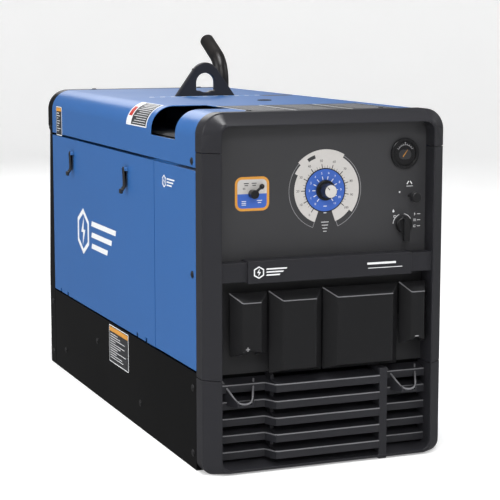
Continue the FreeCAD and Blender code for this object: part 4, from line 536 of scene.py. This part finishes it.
def dialFace():
    knob = (low("output_knob") + high("output_knob")) / 2
    side = frontAt(knob[0] / mm, knob[2] / mm, low("control_panel")[1])
    gap, half = dial["wedge"], dial["lineHalf"]
    base, top, ink = film["bottom"], film["first"], film["second"]

    def band(inner, outer, start, end, level=top):
        return arcBand(side, inner, outer, start, end, base, level)

    def mark(radius, wide, long, turn, level):
        return slab(side, bar(*around(radius, turn), wide, long, turn), base, level)

    first, second, third = dial["bands"]
    grey = [band(dial["rim"], dial["grey"], 180 + gap, 540 - gap), band(second, third, *dial["outerBand"])]
    grey += [band(first, second, *arc) for arc in dial["innerBands"]]
    made("dial_grey_ring", grey, "root", "control_face", inks["grey"])
    lines = [band(dial["line"] - half, dial["line"] + half, *arc) for arc in dial["lines"]]
    lines += [mark(*dial["tick"], turn, top) for turn in dial["ticksAt"]]
    made("dial_scale_lines", lines, "root", "control_face", inks["pale"])
    made("dial_blue_disc", [band(*dial["blue"], 0, 360)], "root", "control_face", inks["blue"])
    black = [band(dial["blue"][1], dial["rim"], 0, 360, ink)]
    for index in range(dial["majors"] * 4 - 3):
        turn = dial["first"] + index * dial["major"] / 4
        long = 8 if index % 4 == 0 else 5 if index % 2 == 0 else 3
        wide = 1.5 if index % 4 == 0 else 0.7
        black.append(mark(dial["rim"] + long / 2, wide, long, turn, ink))
    radius, tall = dial["bigNumbers"]
    for index in range(dial["majors"]):
        turn = dial["first"] + index * dial["major"]
        black.append(lettering(side, str(10 * index), tall, *around(radius, turn), base, ink))
    made("dial_black_marks", black, "root", "control_face", inks["black"])
    white = []
    radius, tall = dial["smallNumbers"]
    for index in range(dial["inners"]):
        turn = dial["innerFirst"] + index * dial["inner"]
        white.append(mark(*dial["smallTicks"], turn, ink))
        white.append(lettering(side, str(index), tall, *around(radius, turn), base, ink))
    white += [slab(side, bar(0, -31 - 13 * row, 7 - row, 1.4), base, ink) for row in range(2)]
    white += [slab(side, bar(0, -62 - 6 * row, 16 - 3 * row, 1.2), base, top) for row in range(4)]
    made("dial_white_marks", white, "root", "control_face", inks["white"])
    cap = frontAt(knob[0] / mm, knob[2] / mm, low("output_knob")[1])
    pointer = slab(cap, bar(-5, 5.5, 1.6, 7, -42), 0.3, 0.62)
    made("output_knob_cap", [turned(cap, dial["cap"])], "output_knob", "knob_plastic", inks["grey"])
    made("output_knob_pointer", [pointer], "output_knob", "knob_plastic", inks["black"])
    flute = frontAt(knob[0] / mm, knob[2] / mm, low("control_panel")[1] - dial["skirtOut"] * mm)
    made("output_knob_skirt", [turned(flute, dial["skirt"])], "output_knob", "knob_plastic",
         finishes["knob_plastic"])


dialFace()

# shaft is how far the knob's shaft stands from the corner of its box
processPlate = {"wide": 70, "tall": 65, "corner": 14, "border": 5, "shaft": 8.5}


def processFace():
    corner = low("process_knob")
    side = frontAt(corner[0] / mm + processPlate["shaft"], corner[2] / mm + processPlate["shaft"],
                   low("control_panel")[1])
    wide, tall, round_ = processPlate["wide"], processPlate["tall"], processPlate["corner"]
    inset = processPlate["border"]
    inner = roundedRect(wide - 2 * inset, tall - 2 * inset, round_ - inset)
    printOn("process_border", side, [roundedRect(wide, tall, round_)], "orange", "root", "control_face")
    upper = np.array([[x, max(y, 0.0)] for x, y in inner])
    lower = np.array([[x, min(y, 0.0)] for x, y in inner])
    printOn("process_upper", side, [upper], "grey", "root", "control_face", "second")
    printOn("process_lower", side, [lower], "blue", "root", "control_face", "second")
    marks = [bar(x, 20 - 4 * row, 10 - 3 * row, 1.6) for row in range(2) for x in (-12, 4)]
    marks += [bar(x, 10, 1.2, 4) for x in (-18, -15)]
    printOn("process_dark_marks", side, marks, "black", "root", "control_face", "third")
    marks = [bar(-17, -14 - 3.4 * row, 9, 1.2) for row in range(3)]
    marks += [bar(15, -13, 11, 1.2), bar(15, -17, 7, 1.2), bar(19, 5, 8, 1.2), bar(20, 9, 5, 1.2)]
    printOn("process_white_marks", side, marks, "white", "root", "control_face", "third")


processFace()

gauge = {
    "sunk": 1.6, "window": (27, 19, 9, (0, -2)),
    "lens": [(0, 0), (22.6, 0), (23.6, -0.8), (23.6, -2), (0, -2)],
    "arc": (16.6, 17.4, -60, 60), "marks": range(-60, 61, 15), "markAt": 18.6, "wide": 0.8,
    "longMark": 3.4, "shortMark": 2.2, "inkLow": -0.1, "inkHigh": 0.4, "dot": 1.4, "dotUp": 21,
    "needle": [[-0.9, -8], [0.9, -8], [0.3, 9], [-0.3, 9]], "lean": [[0.8, -0.6], [0.6, 0.8]],
    "needleRise": (0.1, 0.55),
}


def gaugeFace():
    # a flat lens with a printed window, an arc of marks about the top and a leaning needle
    ring = (low("fuel_gauge") + high("fuel_gauge")) / 2
    side = frontAt(ring[0] / mm, ring[2] / mm, low("fuel_gauge")[1] + gauge["sunk"] * mm)
    made("gauge_glass", [turned(side, gauge["lens"])], "root", "gauge_plastic", finishes["gauge_plastic"])
    printOn("gauge_window", side, [roundedRect(*gauge["window"])], "dark", "root", "gauge_plastic")
    ink = gauge["inkLow"], gauge["inkHigh"]
    scale = [arcBand(side, *gauge["arc"], *ink)]
    for turn in gauge["marks"]:
        long = gauge["longMark"] if turn % 60 == 0 else gauge["shortMark"]
        scale.append(slab(side, bar(*around(gauge["markAt"], turn), gauge["wide"], long, turn), *ink))
    scale.append(slab(side, disc(gauge["dot"], 16) + (0, gauge["dotUp"]), *ink))
    made("gauge_scale", scale, "root", "gauge_plastic", inks["pale"])
    needle = slab(side, np.array(gauge["needle"]) @ np.array(gauge["lean"]), *gauge["needleRise"])
    made("gauge_needle", [needle], "root", "gauge_plastic", inks["orange"])


gaugeFace()


def pictogram(kind, across, up, size):
    # small generic signs, as outlines: a drop, a bolt, a loop open to the right, or three dashes
    if kind == "drop":
        return [disc(size * 0.32, 14) + (across, up - size * 0.1),
                np.array([[-0.22, 0.1], [0.22, 0.1], [0, 0.55]]) * size + (across, up)]
    if kind == "bolt":
        zigzag = [[0.1, 0.6], [-0.3, -0.05], [-0.02, -0.05], [-0.1, -0.6], [0.3, 0.08], [0.02, 0.08]]
        return [np.array(zigzag) * size + (across, up)]
    if kind == "loop":
        return [bar(across, up + size * 0.3, size * 0.8, size * 0.16),
                bar(across, up - size * 0.3, size * 0.8, size * 0.16),
                bar(across - size * 0.35, up, size * 0.16, size * 0.7)]
    return [bar(across, up + size * 0.3 * row, size * 0.9, size * 0.13) for row in (-1, 0, 1)]


controls = {
    "switchDown": 16, "left": (("drop", -20, 27, 7), ("loop", -17, 16, 6)),
    "right": ("bolt", "dashes", "loop"), "rightAt": 27, "barAt": 36, "firstRow": 19, "rowPitch": 12,
    "signSize": 6,
    "chokeMarks": ((-4, 27, 2, 7, 35), (3, 27, 2, 7, -35), (0, 20, 14, 1.1), (-22, 9, 3, 3)),
    "arcs": ((-85, -20), (10, 60)), "arcRadii": (20, 21.2),
}


def controlMarks():
    # signs beside the engine switch, two arcs about it, and marks above the choke
    switch = (low("engine_switch") + high("engine_switch")) / 2
    centre = (switch[0] / mm, high("engine_switch")[2] / mm - controls["switchDown"])
    side = frontAt(*centre, low("control_panel")[1])
    signs = []
    for drawn in controls["left"]:
        signs += pictogram(*drawn)
    for row, kind in enumerate(controls["right"]):
        up = controls["firstRow"] - controls["rowPitch"] * row
        signs += pictogram(kind, controls["rightAt"], up, controls["signSize"])
        signs.append(bar(controls["barAt"], up, 7, 1.2))
    choke = (low("choke_knob") + high("choke_knob")) / 2
    above = (choke[0] / mm - centre[0], choke[2] / mm - centre[1])
    signs += [bar(above[0] + across, above[1] + up, *rest) for across, up, *rest in controls["chokeMarks"]]
    arcs = [arcBand(side, *controls["arcRadii"], *arc, film["bottom"], film["first"])
            for arc in controls["arcs"]]
    printOn("switch_signs", side, signs, "white", "root", "control_face", extra=arcs)


controlMarks()
print("control panel printed")


sign = {"outer": 0.5, "inner": 0.39, "bolt": 0.52, "gap": 0.62, "pitch": 0.24, "stripes": (1.75, 1.45, 1.15),
        "stripeHalf": 0.055, "lean": 0.05}  # all as shares of the emblem's size


def emblem(side, name, size, ink, body, slot):
    # a plain six-sided outline with a lightning bolt in it, and three stripes beside it
    angle = np.radians(np.arange(6) * 60 + 30)
    steps = np.stack([np.cos(angle), np.sin(angle)], axis=1)
    outer, inner = steps * size * sign["outer"], steps * size * sign["inner"]
    ring = np.stack([outer, outer, inner, inner], axis=1)
    rise = np.array([film["bottom"], film["first"], film["first"], film["bottom"]])
    shapes = [surface(side.points(ring[..., 0], ring[..., 1], rise), aroundRows=True)]
    outlines = pictogram("bolt", 0, 0, size * sign["bolt"])
    half, lean = size * sign["stripeHalf"], size * sign["lean"]
    for row, wide in enumerate(sign["stripes"]):
        x, y, long = size * sign["gap"], size * (1 - row) * sign["pitch"], size * wide
        outlines.append(np.array([[x, y - half], [x + long, y - half], [x + long + lean, y + half],
                                  [x + lean, y + half]]))
    printOn(name, side, outlines, ink, body, slot, extra=shapes)


def sidePlace(t, z, x):
    # a place on the left side, t millimetres behind the front
    return Side((x, cadBox[0][1] + t * mm, z * mm), (0, -1, 0), (0, 0, 1))


wallX = low("left_front_panel")[0]
front = cadBox[0][1]
emblems = {  # where each sits, its size, and the body and slot it belongs to
    "door_emblem": (sidePlace(830, 372, wallX), 108, "side_door", "blue_paint"),
    "panel_emblem": (sidePlace(240, 545, wallX), 26, "root", "blue_paint"),
    "strip_emblem": (frontAt(-148, 390, front), 24, "root", "bezel"),
}
for name, (side, size, body, slot) in emblems.items():
    emblem(side, name, size, "white", body, slot)
stripMarks = [bar(0, 3, 62, 4), bar(8, -6, 74, 1.2)]
printOn("strip_marks", frontAt(110, 391, front), stripMarks, "white", "root", "bezel")

polarity = {  # the sign moulded on each terminal cover: where it is, and its bars
    "cover_plus": ("terminal_cover_left", -170, 243, [(0, 0, 8, 1.6), (0, 0, 1.6, 8)]),
    "cover_minus": ("terminal_cover_right", 190, 243, [(0, 0, 8, 1.6)]),
}
for name, (node, x, z, strokes) in polarity.items():
    side = frontAt(x, z, low(node)[1])
    printOn(name, side, [bar(*stroke) for stroke in strokes], "pale", node, "cover_plastic")


grille = {
    "top": 169.5, "face": 15, "pitch": 32.9, "count": 5, "bead": 1.3, "step": 12, "left": -112, "right": 109,
    "post": 17, "side": 29, "end": 221, "lip": 0.6, "bend": 5.0,
    "spouts": (-175, 175), "spoutFront": 14, "spoutRear": 33, "spoutLip": 1.0, "spoutDeep": 43,
    "spoutLow": 137, "spoutHigh": 176, "spoutBend": 14.0, "spoutBead": 2.0,
}


def grilleLips():
    # beads along each fin's front edge and each cable rest's rim, and the slanted step of each fin; the
    # beads wear a pale grey painted highlight
    size = grille
    beads, steps = [], []
    inner, outer, lip = size["left"], size["left"] - size["step"], size["lip"]
    line = [(-size["end"], size["side"]), (outer, size["side"]), (inner, lip), (size["right"], lip)]
    short = [(size["right"] + size["post"], size["side"]), (size["end"], size["side"])]
    outline = np.array([(inner, -lip), (inner, -size["side"]), (outer, -size["side"])])
    for row in range(size["count"]):
        z = size["top"] - size["pitch"] * row
        for corners in (line, short):
            path = np.array([(x, t, z) for x, t in corners], float)
            beads.append(tube(rounded(path, size["bend"]) * mm + (0, front, 0), size["bead"], 10))
        steps.append(slab(Side((0, front, z * mm), (1, 0, 0), (0, -1, 0)), outline, 0.4, size["face"]))
    near, far = size["spoutFront"], size["spoutRear"]
    deep, lipT, bottom, top = size["spoutDeep"], size["spoutLip"], size["spoutLow"], size["spoutHigh"]
    for x in size["spouts"]:
        path = np.array([(x - far, deep, top), (x - near, lipT, bottom), (x + near, lipT, bottom),
                         (x + far, deep, top)], float)
        beads.append(tube(rounded(path, size["spoutBend"]) * mm + (0, front, 0), size["spoutBead"], 12))
    # the beads are painted pale grey as a painted highlight on the dark grille edges
    made("grille_painted_highlight_beads", beads, "root", "bezel", finishes["paintedHighlightLip"])
    made("grille_steps", steps, "root", "bezel", finishes["bezel"])


grilleLips()

covers = {  # left end at the rim, left and right ends of the front face
    "terminal_cover_left": (-200, -180, -142.5), "receptacle_cover_left": (-119.4, -97, -27.6),
    "receptacle_cover_right": (-6.2, 18, 136.5), "terminal_cover_right": (160, 178, 206),
}
coverShape = {"inset": 0.6, "rim": 22.5, "face": 1.4, "top": 349.4, "faceTop": 331.8, "bead": 1.1,
              "bend": 3.0}


def coverBeads():
    # the moulded bead along the top of each cover's face, which runs out to the rim at its left end; it is
    # painted pale grey as a painted highlight on the dark cover
    size = coverShape
    for node, (left, faceLeft, faceRight) in covers.items():
        path = np.array([(left + size["inset"], size["rim"], size["top"]),
                         (faceLeft, size["face"], size["faceTop"]),
                         (faceRight, size["face"], size["faceTop"])])
        bead = tube(rounded(path, size["bend"]) * mm + (0, front, 0), size["bead"], 10)
        # painted highlight: the bead wears the pale grey lip finish, not the cover's own dark plastic
        made(node + "_painted_highlight_bead", [bead], bodyOf[node], "cover_plastic", finishes["paintedHighlightLip"])


coverBeads()


roofX, roofZ = low("top_cover")[0], high("top_cover")[2]
labels = {  # millimetres behind the front, height, the wall's own place; then its size, lines and slot
    "base_label": (559, 145, low("base_pan")[0], 142, 84, 11, "black_paint"),
    "roof_side_label": (1031, 618, roofX, 50, 70, 8, "blue_paint"),
}


def label(name, t, z, x, wide, tall, lines, slot):
    # a generic information label: border, coloured header and rows of bars for its words
    side = sidePlace(t, z, x)
    printOn(name + "_border", side, [roundedRect(wide, tall, 3)], "white", "root", slot)
    printOn(name + "_ground", side, [roundedRect(wide - 4, tall - 4, 2)], "dark", "root", slot, "second")
    header = bar(0, tall * 0.40, wide - 7, tall * 0.12)
    printOn(name + "_header", side, [header], "orange", "root", slot, "third")
    pitch, full = tall * 0.7 / lines, wide - 16
    words = []
    for row in range(lines):
        long = full * abs(0.62 + 0.3 * math.sin(row * 2.4 + wide))  # lines of uneven length
        words.append(bar(long / 2 - full / 2, tall * 0.27 - pitch * row, long, pitch * 0.24))
    printOn(name + "_words", side, words, "white", "root", slot, "third")


for name, settings in labels.items():
    label(name, *settings)

roof = {
    "front": 60, "rear": 262, "left": -136, "right": 178, "frame": 5, "panes": (0.30, 0.38, 0.32),
    "columns": (-0.35, -0.01, 0.34), "lines": 15, "linePitch": 11, "lineThick": 2.4,
    "dashAt": 668, "dash": 11, "pitch": 25.5,
    "dashes": (("roof_dashes", -136, 11, 7, "white"), ("roof_dash_gaps", -123, 10, 5, "sky")),
    "tag": (160, 650), "tagSize": (70, 38, 6), "plug": (44, 440),
    "dome": [(0, -1), (15, -1), (15.5, 0.3), (14.5, 1.6), (10, 2.2), (8, 1.4), (0, 1.2)],
}


def roofPlace(x, t):
    # a place on the roof, t millimetres behind the front
    return Side((x * mm, front + t * mm, roofZ), (1, 0, 0), (0, 1, 0))


def onRoof(name, side, outlines, ink, layer="first"):
    printOn(name, side, outlines, ink, "root", "blue_paint", layer)


def roofPrints():
    # an instruction sheet behind the bezel, a measured row of dashes before the bail, a dark tag and a plug
    deep, wide = roof["rear"] - roof["front"], roof["right"] - roof["left"]
    side = roofPlace((roof["left"] + roof["right"]) / 2, (roof["front"] + roof["rear"]) / 2)
    onRoof("roof_sheet", side, [roundedRect(wide, deep, 4)], "white")
    panes = [roundedRect(wide * share - roof["frame"], deep - roof["frame"], 3, (wide * at, 0))
             for share, at in zip(roof["panes"], roof["columns"])]
    onRoof("roof_sheet_panes", side, panes, "dark", "second")
    words = [bar(wide * at + 3 * math.sin(row), deep * 0.4 - roof["linePitch"] * row,
                 wide * 0.22 - 5 * (row % 3), roof["lineThick"])
             for at in roof["columns"] for row in range(roof["lines"])]
    onRoof("roof_sheet_words", side, words, "pale", "third")
    for part, first, count, tall, ink in roof["dashes"]:
        strokes = [bar(first + roof["pitch"] * step, 0, roof["dash"], tall) for step in range(count)]
        onRoof(part, roofPlace(0, roof["dashAt"]), strokes, ink)
    onRoof("roof_tag", roofPlace(*roof["tag"]), [roundedRect(*roof["tagSize"])], "dark")
    plug = turned(roofPlace(*roof["plug"]), roof["dome"])
    made("roof_plug", [plug], "root", "blue_paint", finishes["rubber"])


roofPrints()

shoulder = {"radius": 48, "front": 351, "rear": 487}
shoulderLabel = {  # ink, layer, and patches: first and last angle, what is left free in front and behind
    "border": ("white", "first", [(2, 78, 0, 0)]),
    "ground": ("dark", "second", [(5, 75, 4, 34)]),
    "words": ("white", "third",
              [(9 + 6 * row, 10.3 + 6 * row, 10, 42 + 9 * (row % 3)) for row in range(11)]),
    "sign": ("red", "second", [(26, 54, 108, 6)]),
}


def bentLabel(name, ink, layer, patches):
    # sheets wrapped over the round shoulder: angle from the side wall to the roof, lift off the paint
    radius = shoulder["radius"]
    centre = np.array([roofX + radius * mm, roofZ - radius * mm])
    rise = (radius + np.array([film["bottom"], film[layer], film[layer], film["bottom"]]))[None, :] * mm
    shapes = []
    for first, last, near, far in patches:
        steps = max(3, int(last - first) // 3)
        angle = np.radians(np.linspace(first, last, steps))[:, None]
        x, z = centre[0] - np.cos(angle) * rise, centre[1] + np.sin(angle) * rise
        start, stop = shoulder["front"] + near, shoulder["rear"] - far
        y = np.broadcast_to(front + np.array([start, start, stop, stop]) * mm, x.shape)
        shapes.append(surface(np.stack([x, y, z], axis=-1)))
    made(name, shapes, "root", "blue_paint", inks[ink])


for part, settings in shoulderLabel.items():
    bentLabel("shoulder_label_" + part, *settings)
print("labels and emblems placed")


def islands(node):
    # the separate solids of one CAD node, as their vertex arrays
    work = bmesh.new()
    work.from_mesh(nodes[node].data)
    bmesh.ops.remove_doubles(work, verts=work.verts, dist=2e-6)
    found, left = [], set(work.verts)
    while left:
        group, waiting = [], [left.pop()]
        while waiting:
            vertex = waiting.pop()
            group.append(vertex)
            for link in vertex.link_edges:
                other = link.other_vert(vertex)
                if other in left:
                    left.remove(other)
                    waiting.append(other)
        found.append(np.array([vertex.co for vertex in group]))
    work.free()
    return found


screw = {
    "head": [(0, -0.4), (7.4, -0.4), (7.4, 0.6), (7.0, 0.9), (5.2, 0.9), (5.2, 1.4), (4.7, 2.1), (3.6, 2.4),
             (0, 2.4)],
    "drive": 2.6, "lobes": 6, "lobe": 0.16, "driveTop": 2.44, "around": 24,
}


def caseScrews():
    # pan heads on their washers, each with a six-lobed drive, where the CAD screws are; each drive is a flat
    # darker print on the head, painted shade for its recess
    shapes, driveShades = [], []
    for points in islands("case_screws"):
        bottom, top = points.min(0), points.max(0)
        spot, span = (bottom + top) / 2, top - bottom
        axis = int(np.argmin(span))
        outward = 1.0 if axis == 2 or spot[0] > 0 else -1.0
        right, up = ((1, 0, 0), (0, 1, 0)) if axis == 2 else ((0, outward, 0), (0, 0, 1))
        spot[axis] = bottom[axis] if outward > 0 else top[axis]
        side = Side(spot, right, up)
        shapes.append(turned(side, screw["head"], screw["around"]))
        angle = np.linspace(0, 2 * math.pi, screw["around"], endpoint=False)
        reach = screw["drive"] * (1 + screw["lobe"] * np.cos(screw["lobes"] * angle))
        rim = np.stack([np.cos(angle) * reach, np.sin(angle) * reach], axis=1)
        # painted shade: the drive is a flat disc of darker ink on top of the head, standing in for the
        # shaded recess
        driveShades.append(slab(side, rim, 0, screw["driveTop"]))
    heads = made("case_screws_heads", shapes, "root", "black_paint", finishes["engine_black"])
    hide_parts("case_screws")
    made("case_screws_drive_shades", driveShades, "root", "black_paint", inks["black"])


caseScrews()
print("screws set")

stage = {"flat": 6.5, "wall": 9.0, "rise": 3.5, "rough": 0.9, "glow": 0.30, "dark": (0.86, 0.86, 0.86, 1),
         "light": (0.9, 0.9, 0.9, 1)}


def studioFloor():
    # a pale round sweep: flat in the middle, a quarter turn up to a wall all round
    paint = Paint("paleFloor", Roughness=stage["rough"], Emission_Color=(1, 1, 1, 1),
                  Emission_Strength=stage["glow"])
    paint.feed("Base Color", paint.mix(paint.noise(2.0, 3.0), stage["dark"], stage["light"]))
    bend = np.radians(np.linspace(0, 90, 24))
    reach = stage["wall"] - stage["flat"]
    radius = np.concatenate([[0.0], stage["flat"] + reach * np.sin(bend), [stage["wall"]]])
    height = np.concatenate([[0.0], reach * (1 - np.cos(bend)), [reach + stage["rise"]]])
    angle = np.linspace(0, 2 * math.pi, 96, endpoint=False)
    grid = np.stack([radius[:, None] * np.cos(angle), radius[:, None] * np.sin(angle),
                     height[:, None] + 0 * angle], axis=-1)
    points, quads = surface(grid)
    mesh = bpy.data.meshes.new("studio_floor")
    mesh.from_pydata(points.tolist(), [], quads[:-2])
    mesh.shade_smooth()
    mesh.materials.append(paint.material)
    floor = bpy.data.objects.new("studio_floor", mesh)
    bpy.context.scene.collection.objects.link(floor)
    floor.visible_glossy = False  # the black panels would mirror it and look grey


studioFloor()

lamps = {
    "front": {"place": (-1.2, -4.4, 3.4), "size": 1.6, "power": 70},
    "left": {"place": (-4.4, 0.2, 2.4), "size": 3.0, "power": 70},
    "right": {"place": (4.2, -1.4, 2.6), "size": 3.0, "power": 35},
    "back": {"place": (0.6, 4.6, 3.2), "size": 3.0, "power": 60},
    "top": {"place": (-0.3, -0.9, 4.2), "size": 1.5, "power": 120},
}
aimed = (0, 0, 0.35)  # what every lamp points at
surround = 0.16


def softLight():
    for name, lamp in lamps.items():
        light = bpy.data.lights.new(name, "AREA")
        light.shape = "DISK"
        light.size = lamp["size"]
        light.energy = lamp["power"]
        holder = bpy.data.objects.new(name, light)
        bpy.context.scene.collection.objects.link(holder)
        x, y, z = np.array(aimed) - np.array(lamp["place"])
        holder.location = lamp["place"]
        holder.rotation_euler = (math.atan2(math.hypot(x, y), -z), 0, math.atan2(-x, y))
    world = bpy.data.worlds.new("studio")
    world.use_nodes = True
    background = world.node_tree.nodes["Background"]
    background.inputs["Color"].default_value = (1, 1, 1, 1)
    background.inputs["Strength"].default_value = surround
    bpy.context.scene.world = world


softLight()

view = {"place": (-1.2695, -3.320, 0.863), "lens": 114.6, "sensor": 36.0, "turn": 21.87, "tilt": 8.24,
        "farthest": 60.0}


def camera():
    lens = bpy.data.cameras.new("camera")
    lens.lens = view["lens"]
    lens.sensor_width = view["sensor"]
    lens.clip_end = view["farthest"]
    holder = bpy.data.objects.new("camera", lens)
    bpy.context.scene.collection.objects.link(holder)
    holder.location = view["place"]
    holder.rotation_euler = (math.radians(90 - view["tilt"]), 0, -math.radians(view["turn"]))
    bpy.context.scene.camera = holder


camera()
bpy.context.scene.view_settings.view_transform = "Standard"  # plain colours, as the paints are mixed
print("studio ready")
